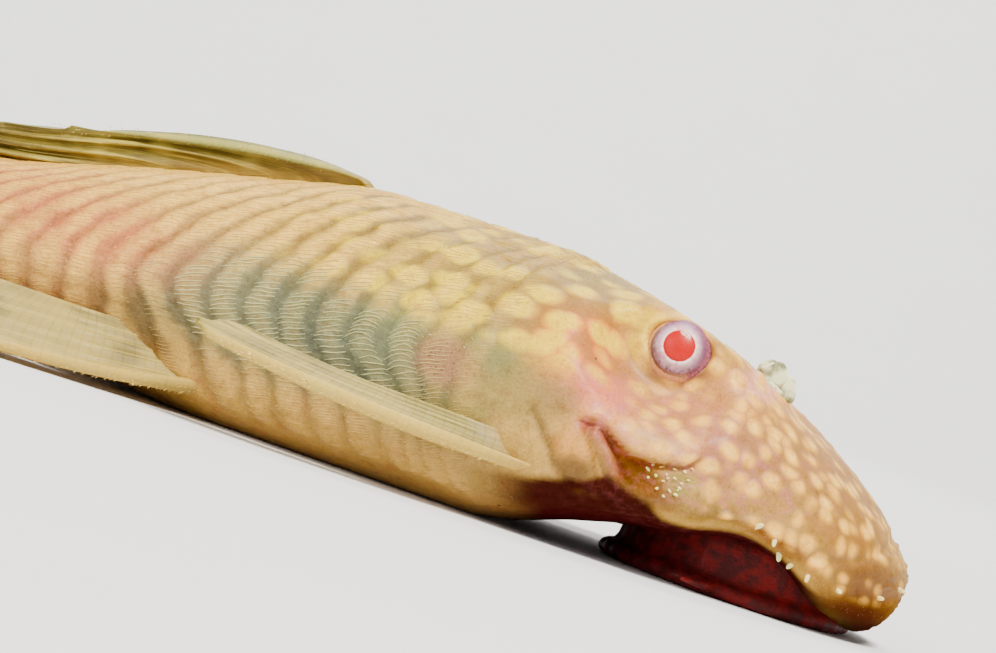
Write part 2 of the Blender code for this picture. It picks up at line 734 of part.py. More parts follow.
def fin(name, rays, finish, thick=0.25, ray_thick=0.42, ray_half=0.22, spine_thick=0.62, tip_share=0.55,
        both_edges=False, steps=8):
    """A thin closed sheet through a fan of rays, each a ridge on both faces.

    rays is a list of functions from 0 at the root to 1 at the tip. The first ray is a stout spine, and
    the last one too with both_edges. The sizes are half thicknesses.
    """
    stout = {0, len(rays) - 1} if both_edges else {0}
    rows = []
    for j in range(steps + 1):
        taper = 1 - (1 - tip_share) * j / steps
        row = []
        for i in range(len(rays)):
            crest, half = (spine_thick, SPINE_HALF) if i in stout else (ray_thick, ray_half)
            row += fin_entries(rays, i, j / steps, thick * taper, crest * taper, half * taper, 0.45)
        rows.append(row)
    edit = bmesh.new()
    faces = []
    for way in (1, -1):
        grid = []
        for row in rows:
            grid.append([edit.verts.new(resting(place + normal * level * way) * MM)
                         for place, normal, level in row])
        faces.append(grid)
    count = len(rows[0])
    for grid in faces:
        for j in range(steps):
            for k in range(count - 1):
                edit.faces.new((grid[j][k], grid[j][k + 1], grid[j + 1][k + 1]))
                edit.faces.new((grid[j][k], grid[j + 1][k + 1], grid[j + 1][k]))
    border = [(j, 0) for j in range(steps)] + [(steps, k) for k in range(count - 1)]
    border += [(j, count - 1) for j in range(steps, 0, -1)] + [(0, k) for k in range(count - 1, 0, -1)]
    front, back = faces
    for (j, k), (next_j, next_k) in zip(border, border[1:] + border[:1]):
        edit.faces.new((front[j][k], front[next_j][next_k], back[next_j][next_k]))
        edit.faces.new((front[j][k], back[next_j][next_k], back[j][k]))
    return finished(name, edit, finish)


def bent_ray(root, middle, tip):
    """A ray through three points, as a smooth curve."""
    handle = middle * 2 - (root + tip) * 0.5
    return lambda t: root * (1 - t) ** 2 + handle * (2 * t * (1 - t)) + tip * t * t


def place(behind, side_reach, height, side=1):
    return Vector((row_x(behind), side * side_reach + sway(behind), height))


def dorsal_ray(i):
    def ray(t):
        gone = DORSAL_LENGTHS[i] * t
        behind = DORSAL_START + DORSAL_PITCH * i + gone
        high = (DORSAL_TOP - DORSAL_STACK * i) * (1 - math.exp(-gone / DORSAL_RISE))
        pleat = DORSAL_PLEAT * (1 if i % 2 else -1) * math.sin(math.pi * min(1.0, t * 1.2))
        sunk = ROOT_DEPTH * (1 - eased(t * 5))
        return Vector((row_x(behind), sway(behind) + pleat, along(BACK, behind) + high - sunk))
    return ray


def anal_ray(i):
    def ray(t):
        gone = ANAL_LENGTHS[i] * t
        behind = ANAL_START + ANAL_PITCH * i + gone
        low = (ANAL_DROP - ANAL_STACK * i) * (1 - math.exp(-gone / ANAL_RISE))
        sunk = ROOT_DEPTH * (1 - eased(t * 5))
        return Vector((row_x(behind), sway(behind), along(BELLY, behind) - low + sunk))
    return ray


def caudal_ray(i):
    share = i / (CAUDAL_RAYS - 1)
    height = CAUDAL_ROOT_LOW + (CAUDAL_ROOT_HIGH - CAUDAL_ROOT_LOW) * share
    aim = math.radians(CAUDAL_LOW_DEGREES + (CAUDAL_HIGH_DEGREES - CAUDAL_LOW_DEGREES) * share)
    edge = abs(2 * share - 1) ** 1.6
    outer = CAUDAL_LOW_LENGTH + (CAUDAL_HIGH_LENGTH - CAUDAL_LOW_LENGTH) * share
    length = CAUDAL_MIDDLE_LENGTH + (outer - CAUDAL_MIDDLE_LENGTH) * edge

    def ray(t):
        gone = (length + ROOT_DEPTH) * t - ROOT_DEPTH
        behind = STANDARD_LENGTH + gone * math.cos(aim)
        pleat = CAUDAL_PLEAT * (1 if i % 2 else -1) * t
        return Vector((row_x(behind), sway(behind) + pleat, height + gone * math.sin(aim)))
    return ray


def paired_rays(roots, middles, tips, count, bulge, side):
    rays = []
    for i in range(count):
        share = i / (count - 1)
        root, middle, tip = (place(*(a + (b - a) * share for a, b in zip(*ends)), side=side)
                             for ends in (roots, middles, tips))
        tip.x -= bulge * math.sin(math.pi * share)
        tip.z += 0.15 * (i % 2)
        rays.append(bent_ray(root, middle, tip))
    return rays


def adipose(finish):
    """A short spine with a small sail behind it, on the tail stalk's back."""
    ends = []
    for root_behind, tip_behind, depth, rise in (ADIPOSE_SPINE, ADIPOSE_SAIL):
        root = place(root_behind, 0, along(BACK, root_behind) - depth)
        tip = place(tip_behind, 0, along(BACK, tip_behind) + rise)
        ends.append(bent_ray(root, (root + tip) * 0.5 + Vector((0, 0, 0.1 * rise)), tip))
    return fin("adipose_fin", ends, finish, steps=5)


def build():
    clear_scene()
    skin = material("head_skin", SKIN_COLOUR, 0.5)
    plates = material("body_plates", BODY_COLOUR, 0.5)
    sails = material("fin_rays", FIN_COLOUR, 0.45)
    lips = material("lips", LIP_COLOUR, 0.4)
    iris = material("eye", IRIS_COLOUR, 0.15)
    head(skin)
    trunk_and_tail(plates)
    mouth_disc(lips)
    for side in (-1, 1):
        eye(side, iris)
    fins = [
        fin("dorsal_fin", [dorsal_ray(i) for i in range(len(DORSAL_LENGTHS))], sails, steps=7),
        fin("anal_fin", [anal_ray(i) for i in range(len(ANAL_LENGTHS))], sails, steps=5, spine_thick=0.5),
        fin("caudal_fin", [caudal_ray(i) for i in range(CAUDAL_RAYS)], sails, steps=5, both_edges=True),
        adipose(sails),
    ]
    for side, word in ((-1, "right"), (1, "left")):
        for kind, (roots, middles, tips, count, bulge, thick) in PAIRED_FINS.items():
            rays = paired_rays(roots, middles, tips, count, bulge, side)
            fins.append(fin(f"{kind}_fin_{word}", rays, sails, spine_thick=thick))
    for sheet in fins:
        carved(sheet, [body_cutter()])


build()
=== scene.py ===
"""The looks of an albino bristlenose catfish that rests on its belly with its fins folded back.

Sizes are in millimetres until lofted() or joined() turns them into metres. Distances along the fish
are measured behind the tip of the snout. An angle round the body is 0 at the back, 90 on the right
side and 180 on the belly.
"""

import math

import bpy
import numpy as np
from mathutils import Matrix, Vector


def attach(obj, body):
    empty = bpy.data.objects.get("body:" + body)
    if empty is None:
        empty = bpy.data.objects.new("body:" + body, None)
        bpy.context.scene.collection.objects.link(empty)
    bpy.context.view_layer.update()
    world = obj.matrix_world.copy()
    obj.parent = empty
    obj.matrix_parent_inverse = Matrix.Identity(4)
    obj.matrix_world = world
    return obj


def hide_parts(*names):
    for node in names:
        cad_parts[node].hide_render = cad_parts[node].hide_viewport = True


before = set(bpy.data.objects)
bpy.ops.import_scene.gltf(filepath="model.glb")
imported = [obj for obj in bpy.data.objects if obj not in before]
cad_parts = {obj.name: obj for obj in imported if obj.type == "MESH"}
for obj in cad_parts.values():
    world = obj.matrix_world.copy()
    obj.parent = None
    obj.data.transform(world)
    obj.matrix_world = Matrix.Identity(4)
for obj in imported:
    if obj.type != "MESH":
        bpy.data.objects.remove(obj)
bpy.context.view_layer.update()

MM = 0.001
BODY = "root"

# The body's form, as in the solids
STANDARD_LENGTH = 90.0
SNOUT_X = 58.5
SWAY_START = 60.0
SWAY_END = 118.0
SWAY = 4.0
BACK = ((0, 4.2), (1.1, 6.2), (4, 8.9), (9, 11.9), (14, 14.2), (20, 16.0), (27, 17.05), (38, 16.9),
        (46, 15.2), (54, 13.2), (62.5, 10.9), (70, 9.9), (80, 9.5), (90, 10.0))
BELLY = ((0, 4.2), (0.5, 2.1), (1.3, 1.0), (2.5, 0.4), (4.5, 0.7), (6.5, 1.5), (9, 2.6), (17, 2.5),
         (21, 1.6), (25, 0.3), (28, -0.2), (44, -0.2), (54, 0.6), (62, 1.4), (70, 1.8), (80, 1.5), (90, 0.9))
HALF_WIDTH = ((0, 0), (1, 5.2), (2.5, 7.9), (5, 10.3), (9, 12.3), (14, 13.7), (19, 14.4), (24, 14.5),
              (30, 13.5), (38, 11.9), (46, 10.2), (54, 8.6), (62, 6.9), (70, 5.0), (80, 3.2), (90, 2.3))
WIDEST_Z = ((0, 4.2), (4, 3.9), (9, 5.3), (14, 5.6), (20, 5.7), (30, 5.3), (45, 5.0), (60, 5.3), (75, 5.7),
            (90, 5.5))
UPPER_ROUND = ((0, 2.0), (8, 2.05), (18, 2.8), (30, 2.15), (45, 1.9), (70, 2.0), (90, 2.1))
LOWER_ROUND = ((0, 2.0), (6, 2.6), (12, 3.2), (28, 3.4), (46, 3.2), (62, 2.4), (90, 2.1))
STALK_CLOSE = 3.2  # behind the stalk the skin closes over the tail fin's root within this length

# How the tones that a render shows come out of painted ones
LAMP_LEVEL = 2.6
TONE_GAIN = 0.462
TONE_POWER = 0.733
TONE_LIMIT = 0.989
TONE_VIVID = 1.10
TONE_BALANCE = (1.0, 1.115, 0.92)
TONE_GREY = (0.3, 0.5, 0.2)
SHEEN = 0.014  # what the wet surface adds to every colour

# Meshes
MERGE_WITHIN = 1e-6  # in metres
UV_PATCH = 0.003

# Plates
PLATE_ROWS = (0, 26, 64, 90, 110, 128)
PLATE_START = 29.0
PLATE_END = 89.0
PLATE_FILES = 28
PLATE_SHORTENING = 0.85
PLATE_HEIGHT = 0.23
PLATE_STEP = 0.50
SLANT_APEX = 72.0
SLANT_ABOVE = 5.5
SLANT_BELOW = 3.2
COMB_PITCH = 0.25
COMB_RINGS = 6
CHEVRON_APEX = 78.0
CHEVRON_SWEEP = 6.0
CHEVRON_BEND = 1.8
SWEEP_FROM = 20.0
SWEEP_TO = 80.0
SWEEP_BLEND = 12.0

# Eye
EYE_BEHIND = 18.57
EYE_SIDE = 9.2
EYE_Z = 13.47
EYE_RADIUS = 2.04
EYE_DOME = 1.04 * EYE_RADIUS
EYE_ROUND = 2.1
EYE_UP_DEGREES = 13.0
EYE_FORWARD_DEGREES = -3.0
ORBIT_RIM = 2.45
ORBIT_HEIGHT = 0.40
ORBIT_CREST = 2.24
ORBIT_LEVEL = 0.45
ORBIT_REACH = 4.0
ORBIT_BLEND = 4.6
PUPIL = 0.97
IRIS_EDGE = 1.72
PUPIL_SHIFT = (-0.07, 0.02)
IRIS_SHIFT = (-0.03, 0.02)

# Nostril
NOSTRIL_BEHIND = 12.2
NOSTRIL_SIDE = 3.3
NOSTRIL_RADIUS = 0.8
# The flap's lobes: (centre out from the nostril, way that it rises, half sizes, cup, seed)
FLAP_LOBES = (
    ((-0.05, 0.35, 0.92), (0.15, 0, 1.0), (0.72, 0.72, 0.27), 0.16, 3),
    ((1.02, 0.30, 0.22), (-0.30, 0, 1.0), (0.46, 0.84, 0.26), 0.12, 8),
)

# Mouth disc
DISC_CENTRE = 10.8
DISC_HALF_LENGTH = 8.2
DISC_HALF_WIDTH = 9.4
DISC_FLARE = 1.1
DISC_NECK = 0.88
DISC_TOP = 4.4
MOUTH_BEHIND = 8.6
MOUTH_HALF_WIDTH = 4.0
MOUTH_HALF_LENGTH = 1.7
MOUTH_CEILING = 1.3
LIP_COLUMNS = 160

# Lines on the sides of the head, as (behind, height)
CHEEK_EDGE = ((15.5, 8.0), (15.8, 7.5), (16.5, 7.2), (17.4, 7.0), (18.3, 6.8), (19.1, 6.75), (19.8, 7.0),
              (20.6, 7.4), (21.5, 7.8), (22.6, 7.95))
CHEEK_FRONT = 15.2
CHEEK_REAR = 22.9
GILL_RIDGE = ((21.9, 7.4), (21.2, 6.75), (20.6, 6.1), (19.9, 5.2), (19.1, 4.3), (18.6, 3.6))
SHOULDER_FOLD = ((25.9, 7.4), (25.2, 6.7), (24.6, 6.0), (23.9, 5.2), (23.2, 4.6), (22.4, 4.2))
THROAT_TOP = ((13.5, 2.6), (15.0, 3.3), (16.4, 3.7), (17.5, 4.4), (18.9, 4.7), (20.4, 5.2), (21.4, 4.6),
              (22.6, 4.2), (24.8, 3.5), (27.5, 3.1))
ROSTRAL_GROOVE = ((1.6, 6.9), (2.6, 6.0), (4.2, 5.0), (7.0, 4.2))
SNOUT_LIP = ((0.4, 3.6), (1.6, 2.6), (4.5, 2.5), (8.0, 3.9), (12.5, 4.6), (16.5, 4.5))
CHEEK_POCKET = (18.9, 5.7)
# Where the sides of the head swell and sink: (centre as behind and height, half sizes, rise)
SIDE_MOUNDS = (
    (CHEEK_POCKET, (1.5, 1.2), -0.45),
    ((22.8, 6.1), (1.25, 1.75), 0.75),  # shoulder
    ((15.3, 5.2), (1.4, 1.0), 0.25),  # jaw
    ((26.0, 5.1), (1.8, 1.25), 0.25),  # base of the pectoral fin
)
RIM_RISE = 1.0  # the head's lower rim rises beside the mouth
RIM_RISE_BEHIND = 11.4

# The skin's grid
HEAD_ROWS = 175
TRUNK_ROWS = 165
TAIL_ROWS = 80
HEAD_END = 28.0
TRUNK_END = 63.0
SIDE_COLUMNS = 98
BELLY_COLUMNS = 32
BELLY_DEGREES = 132.0


def smooth(x):
    """0 below 0, 1 above 1 and a smooth step between."""
    x = np.clip(x, 0.0, 1.0)
    return x * x * (3 - 2 * x)


def eased(x):
    """Like smooth, with no change of curvature at its ends."""
    x = np.clip(x, 0.0, 1.0)
    return x ** 3 * (x * (6 * x - 15) + 10)


def bump_at(distance, width):
    """1 at no distance, falling to 0 beyond the width."""
    return np.exp(-(distance / width) ** 2)


def within(value, start, rise, end, fall):
    """1 from the start to the end, blending from 0 over the rise and back to 0 over the fall."""
    return smooth((value - start) / rise) * (1 - smooth((value - end) / fall))


def profile(points, behind):
    """A profile's size at each place, by a smooth curve that is blunt at the snout."""
    xs = np.sqrt([float(place) for place, _ in points])
    ys = np.array([float(size) for _, size in points])
    slopes = np.diff(ys) / np.diff(xs)
    before, after = slopes[:-1], slopes[1:]
    total = np.where(before + after == 0, 1.0, before + after)
    inner = np.where(before * after > 0, 2 * before * after / total, 0.0)
    tangents = np.concatenate([slopes[:1], inner, slopes[-1:]])
    x = np.sqrt(np.clip(behind, points[0][0], points[-1][0]))
    i = np.clip(np.searchsorted(xs, x, side="right") - 1, 0, len(xs) - 2)
    span = xs[i + 1] - xs[i]
    u = (x - xs[i]) / span
    return ((1 + 2 * u) * (1 - u) ** 2 * ys[i] + u * (1 - u) ** 2 * span * tangents[i]
            + u * u * (3 - 2 * u) * ys[i + 1] + u * u * (u - 1) * span * tangents[i + 1])


def sway(behind):
    """How far the tail swings to the left."""
    return SWAY * np.maximum(0.0, (behind - SWAY_START) / (SWAY_END - SWAY_START)) ** 2


def power_of(value, power):
    """A power that keeps the sign."""
    return np.sign(value) * np.abs(value) ** power


def section(behind, degrees):
    """Points of the body's smooth form."""
    angle = np.radians(degrees)
    widest = profile(WIDEST_Z, behind)
    upper = np.cos(angle) >= 0
    reach = np.where(upper, profile(BACK, behind) - widest, widest - profile(BELLY, behind))
    power = 2 / np.where(upper, profile(UPPER_ROUND, behind), profile(LOWER_ROUND, behind))
    across = power_of(np.sin(angle), power)
    up = power_of(np.cos(angle), power)
    closing = np.clip((behind - STANDARD_LENGTH) / STALK_CLOSE, 0, 1)
    narrow = np.sqrt(np.clip(1 - closing ** 2, 0, 1))
    y = sway(behind) - profile(HALF_WIDTH, behind) * across * narrow
    z = widest + reach * up * (1 - 0.12 * closing)
    return np.stack([SNOUT_X - behind, y, z], axis=-1)


def from_back(degrees):
    """The angle away from the middle of the back, on either side."""
    degrees = np.mod(degrees, 360)
    return np.minimum(degrees, 360 - degrees)


def chevron(degrees):
    """How far back the plates' files bend at each angle, from 0 at the chevron's apex."""
    away = np.minimum(from_back(degrees), PLATE_ROWS[-1]) - CHEVRON_APEX
    return (np.abs(away) / CHEVRON_APEX) ** CHEVRON_BEND


def swept(place, degrees):
    """Where along the fish a place of the plates' grid lies: its files bend back from the chevron's apex."""
    strength = within(place, SWEEP_FROM, SWEEP_BLEND, SWEEP_TO, SWEEP_BLEND)
    return place - CHEVRON_SWEEP * strength * chevron(degrees)


def surface(place, degrees):
    """Points of the smooth form by the plates' grid."""
    return section(swept(place, degrees), degrees)


def unit(vectors):
    """The vectors, made one long."""
    return vectors / np.maximum(np.linalg.norm(vectors, axis=-1, keepdims=True), 1e-9)


def facing(form, place, degrees, step=0.04, turn=0.6):
    """Outward unit normals of a form at each place and angle."""
    along = form(place + step, degrees) - form(np.maximum(place - step, 0.01), degrees)
    around = form(place, degrees - turn) - form(place, degrees + turn)
    return unit(np.cross(around, along))


def plate_edges():
    """Where each file of plates begins and the last one ends, each file shorter than the one before."""
    ratio = PLATE_SHORTENING ** (1 / (PLATE_FILES - 1))
    first = (PLATE_END - PLATE_START) * (1 - ratio) / (1 - ratio ** PLATE_FILES)
    lengths = first * ratio ** np.arange(PLATE_FILES)
    return PLATE_START + np.concatenate([[0.0], np.cumsum(lengths)])


EDGES = plate_edges()


def file_at(place):
    """How many files of plates lie ahead of each place, with the share of its own."""
    return np.interp(place, EDGES, np.arange(len(EDGES), dtype=float))


def row_at(degrees):
    """How many rows of plates lie above each angle, with the share of its own."""
    return np.interp(from_back(degrees), PLATE_ROWS, np.arange(len(PLATE_ROWS), dtype=float))


def wander(point, scale, seed, amount=1.0):
    """A smooth random number near 0 for each point, the same each run."""
    chance = np.random.default_rng(seed)
    total = np.zeros(point.shape[:-1])
    for _ in range(7):
        way = unit(chance.normal(size=3)) * chance.uniform(0.7, 1.6) / scale
        total += np.sin(point @ way * 2 * np.pi + chance.uniform(0, 2 * np.pi))
    return amount * total / 7


def uneven(point):
    """How far the plates' edges stray from even lines."""
    return wander(point, 3.2, 5, 0.42) + wander(point, 1.3, 15, 0.16)


def plates_on(place, degrees):
    """How strongly plates show: 1 on the flanks and back, 0 on the belly and the head."""
    low = 1 - smooth((from_back(degrees) - 116) / 14)
    return within(place, PLATE_START - 1.5, 3.0, 87, 2.5) * low


def slant(place, degrees):
    """How much further forward than the grid's chevrons the plates' edges lie, above and below the apex."""
    away = from_back(degrees)
    upper = SLANT_ABOVE * np.clip((SLANT_APEX - away) / SLANT_APEX, 0, 1) ** 1.4
    lower = SLANT_BELOW * smooth((away - SLANT_APEX) / 26)
    return upper * within(place, 27, 8, 64, 18) + lower * within(place, 30, 5, 46, 9)


def plate_relief(place, degrees, point):
    """Each plate rises backwards and drops at its soft edge, with a shallow groove between rows."""
    share = file_at(place + slant(place, degrees) + uneven(point)) % 1.0
    row = row_at(degrees + wander(point, 4.0, 6, 3.0))
    across = row % 1.0
    edge = 1 - PLATE_STEP / 2.9
    rise = np.where(share < edge, share / edge, (1 - share) / (1 - edge))
    rise = 0.25 + 0.75 * smooth(rise) ** 1.2
    groove = smooth(np.minimum(across, 1 - across) / 0.16)
    groove = np.where(row < 1, smooth((1 - across) / 0.16), groove)
    groove = 0.70 + 0.30 * groove
    return PLATE_HEIGHT * rise * groove * plates_on(place, degrees)


def line_distance(behind, height, line):
    """The distance in the side view to a chain of points."""
    best = np.full(behind.shape, 1e9)
    for (ax, az), (bx, bz) in zip(line, line[1:]):
        t = ((behind - ax) * (bx - ax) + (height - az) * (bz - az)) / ((bx - ax) ** 2 + (bz - az) ** 2)
        t = np.clip(t, 0, 1)
        best = np.minimum(best, np.hypot(behind - ax - t * (bx - ax), height - az - t * (bz - az)))
    return best


def height_of(line, behind):
    """How high a line of (behind, height) points lies at each place."""
    return np.interp(behind, [place for place, _ in line], [height for _, height in line])


def oval(behind, height, centre, size):
    """How far each point is from an oval's centre in the side view: 1 on the oval."""
    return np.hypot((behind - centre[0]) / size[0], (height - centre[1]) / size[1])


def mound(behind, height, centre, size):
    """1 in the middle of an oval in the side view, falling to 0 just outside it."""
    return bump_at(oval(behind, height, centre, size) ** 2, 1.0)


def eye_centre(side):
    """The centre of one eyeball. A side is -1 for the right and 1 for the left."""
    return np.array([SNOUT_X - EYE_BEHIND, side * EYE_SIDE, EYE_Z])


def eye_gaze(side):
    """The way that one eye looks."""
    up, forward = math.radians(EYE_UP_DEGREES), math.radians(EYE_FORWARD_DEGREES)
    level = math.cos(up)
    return np.array([level * math.sin(forward), side * level * math.cos(forward), math.sin(up)])


def nostril_centre(side):
    """One nostril's place on the skin and the way out from it."""
    degrees = math.degrees(math.asin(NOSTRIL_SIDE / profile(HALF_WIDTH, np.array(NOSTRIL_BEHIND))))
    degrees = np.array(degrees if side < 0 else 360 - degrees)
    place = np.array(NOSTRIL_BEHIND)
    return section(place, degrees), facing(section, place, degrees)


def granules(point, spacing, size, seed):
    """Low rounded grains, by a jittered lattice of points in space."""
    cell = point / spacing
    base = np.floor(cell)
    best = np.full(point.shape[:-1], 9.0)
    for dx in (-1, 0, 1):
        for dy in (-1, 0, 1):
            for dz in (-1, 0, 1):
                near = base + np.array([dx, dy, dz])
                mixed = np.sin(near @ np.array([[12.99, 39.34, 73.16], [78.23, 11.13, 52.24],
                                                [37.72, 83.15, 9.15]]) + seed) * 43758.54
                spot = near + 0.15 + 0.7 * (mixed - np.floor(mixed))
                best = np.minimum(best, np.linalg.norm(cell - spot, axis=-1))
    return bump_at(best * spacing, size)


def cheek_relief(point, behind, height):
    """The cheek plate's free edge, the gill's ridge behind it, the shoulder's fold and the mounds."""
    lateral = smooth((np.abs(point[..., 1]) - 7.5) / 3.0) * (1 - smooth((height - 10.5) / 2.0))
    edge = line_distance(behind, height, CHEEK_EDGE)
    below = height < height_of(CHEEK_EDGE, behind)
    slit = 0.20 + 0.20 * smooth((behind - 19.0) / 2.4)
    sunk = 0.22 + 0.33 * smooth((behind - 15.8) / 2.4) - 0.40 * smooth((behind - 20.0) / 1.8)
    lift = np.where(below, -sunk * bump_at(edge - 0.8 * slit, slit), 0.26 * bump_at(edge - 0.25, 0.5))
    lift = lift * within(behind, CHEEK_FRONT, 0.6, CHEEK_REAR, 0.8)
    gill = line_distance(behind, height, GILL_RIDGE)
    lift += smooth((height - 4.0) / 1.5) * (0.26 * bump_at(gill, 0.24) - 0.30 * bump_at(gill - 0.55, 0.22))
    lift -= 0.30 * bump_at(line_distance(behind, height, SHOULDER_FOLD), 0.28)
    for centre, size, rise in SIDE_MOUNDS:
        lift += rise * mound(behind, height, centre, size)
    return lateral * lift


def face_relief(point):
    """The raised skin round each orbit, and the nostrils' rims and hollows."""
    lift = np.zeros(point.shape[:-1])
    for side in (-1, 1):
        away = point - (eye_centre(side) + eye_gaze(side) * EYE_RADIUS * 0.4)
        rim = bump_at(np.linalg.norm(away, axis=-1) - ORBIT_RIM - 0.6, 0.9)
        lift += 0.20 * rim * (1 + 0.25 * wander(point, 1.3, 12))
        centre, normal = nostril_centre(side)
        away = point - centre
        flat = np.linalg.norm(away - (away @ normal)[..., None] * normal, axis=-1)
        lift += 0.22 * bump_at(flat - NOSTRIL_RADIUS * 1.25, 0.45) - 0.9 * bump_at(flat, 0.62)
    return lift


def snout_relief(point, degrees, behind, height):
    """The head's bony grain, the groove and the lip along the snout's side, and the pad at its tip."""
    bony = within(behind, 1.0, 3.0, 30, 4.0) * (1 - smooth((from_back(degrees) - 112) / 20))
    lift = bony * (0.10 * wander(point, 5.5, 3) + 0.05 * wander(point, 2.2, 4))
    lift += bony * 0.08 * granules(point, 1.15, 0.36, 8.0)
    lift -= 0.22 * bump_at(line_distance(behind, height, ROSTRAL_GROOVE), 0.35) * (behind < 9)
    pad = 1 - smooth((behind - 1.2) / 2.0)
    lift += pad * 0.16 * granules(point, 0.55, 0.20, 2.0)
    lip = bump_at(line_distance(behind, height, SNOUT_LIP), 0.7)
    lift += 0.28 * lip * smooth((np.abs(point[..., 1]) - 2.0) / 3.0) * (behind < 17.5)
    return lift


def head_relief(point, degrees):
    """How far the head's finer forms stand out from its smooth form."""
    behind, height = SNOUT_X - point[..., 0], point[..., 2]
    return (cheek_relief(point, behind, height) + face_relief(point)
            + snout_relief(point, degrees, behind, height))


def orbit_turned(point):
    """Moves the skin round each eye to face the way that the eye does, and sinks it under the ball."""
    moved = point.copy()
    for side in (-1, 1):
        gaze = eye_gaze(side)
        away = point - eye_centre(side)
        out = away @ gaze
        flat = away - out[..., None] * gaze
        across = np.linalg.norm(flat, axis=-1)
        share = 1 - eased((across - ORBIT_RIM) / ORBIT_BLEND)
        share = share * (1 - eased((np.abs(out) - ORBIT_REACH) / ORBIT_BLEND)) * (point[..., 1] * side > 0)
        moved[..., 1] += (ORBIT_LEVEL - out) * share / gaze[1]
        near = 1 - smooth((across - 2.6) / 1.0)
        lidded = np.hypot(across, 0.48 * flat[..., 2] * near)
        inside = 1 - smooth((lidded - 1.62) / 0.30)
        high = ORBIT_HEIGHT * (1 + 0.35 * near * np.abs(flat[..., 2]) / np.maximum(across, 0.5))
        slope = np.where(lidded < ORBIT_CREST, 0.36, 0.60)
        rim = high * bump_at(lidded - ORBIT_CREST, slope) * (1 - inside)
        moved += ((rim - inside) * share)[..., None] * gaze
    return moved


def skin_at(place, degrees):
    """Points of the finished skin at each place and angle."""
    point = surface(place, degrees)
    lift = plate_relief(place, degrees, point) + head_relief(point, degrees)
    lift = lift * smooth((profile(HALF_WIDTH, place) - 0.2) / 2.0)
    moved = orbit_turned(point + facing(surface, place, degrees) * lift[..., None])
    behind = SNOUT_X - point[..., 0]
    rim = smooth((from_back(degrees) - 84) / 26)
    moved[..., 2] += RIM_RISE * bump_at(behind - RIM_RISE_BEHIND, 3.2) * rim
    moved[..., 2] = np.maximum(moved[..., 2], 0.02)
    return moved


def smoothed(piece):
    """Shades every face smoothly."""
    for face in piece.data.polygons:
        face.use_smooth = True


def chosen(piece):
    """Selects one piece alone."""
    bpy.ops.object.select_all(action="DESELECT")
    piece.select_set(True)
    bpy.context.view_layer.objects.active = piece


def lofted(name, points):
    """A plain grid set through rows of points."""
    rows, columns = points.shape[:2]
    bpy.ops.object.select_all(action="DESELECT")
    bpy.ops.mesh.primitive_grid_add(x_subdivisions=columns - 1, y_subdivisions=rows - 1, size=1)
    piece = bpy.context.object
    piece.name = piece.data.name = name
    piece.data.vertices.foreach_set("co", (points * MM).astype(np.float32).ravel())
    return piece


def sealed(piece):
    """Merges the points that meet, and turns the faces outwards."""
    chosen(piece)
    bpy.ops.object.mode_set(mode="EDIT")
    bpy.ops.mesh.select_all(action="SELECT")
    bpy.ops.mesh.remove_doubles(threshold=MERGE_WITHIN)
    bpy.ops.mesh.dissolve_degenerate(threshold=MERGE_WITHIN)
    bpy.ops.mesh.select_all(action="SELECT")
    bpy.ops.mesh.normals_make_consistent(inside=False)
    bpy.ops.object.mode_set(mode="OBJECT")
    smoothed(piece)
    return piece


def put(piece, slot, *nodes):
    """Fastens a piece to the body and hides the solids that it stands for; its slot is not used."""
    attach(piece, BODY)
    if nodes:
        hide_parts(*nodes)
    return piece


def word_of(side):
    """The end of a piece's name on one side."""
    return "_left" if side > 0 else "_right"


def marked(piece, name, values):
    """Gives each point of a piece a number, a vector or a colour for its finish to read."""
    kinds = {1: "FLOAT", 3: "FLOAT_VECTOR", 4: "FLOAT_COLOR"}
    width = 1 if values.ndim == 1 else values.shape[-1]
    mark = piece.data.attributes.new(name, kinds[width], "POINT")
    key = {1: "value", 3: "vector", 4: "color"}[width]
    mark.data.foreach_set(key, values.astype(np.float32).ravel())


def paint(red, green, blue):
    """The colour to paint so that it looks like this sRGB colour, or a darker one, under the lamps."""
    seen = np.array([red, green, blue]) / 255
    while True:
        light = np.where(seen <= 0.04045, seen / 12.92, ((seen + 0.055) / 1.055) ** 2.4) ** TONE_POWER
        glow = TONE_GAIN * light / (1 - TONE_LIMIT * light) * np.array(TONE_BALANCE)
        grey = glow @ np.array(TONE_GREY)
        colour = (grey + (glow - grey) * TONE_VIVID) / LAMP_LEVEL - SHEEN
        if colour.max() <= 0.93:
            return np.maximum(colour, 0.003)
        seen = seen * 0.985


CREAM = paint(212, 188, 136)
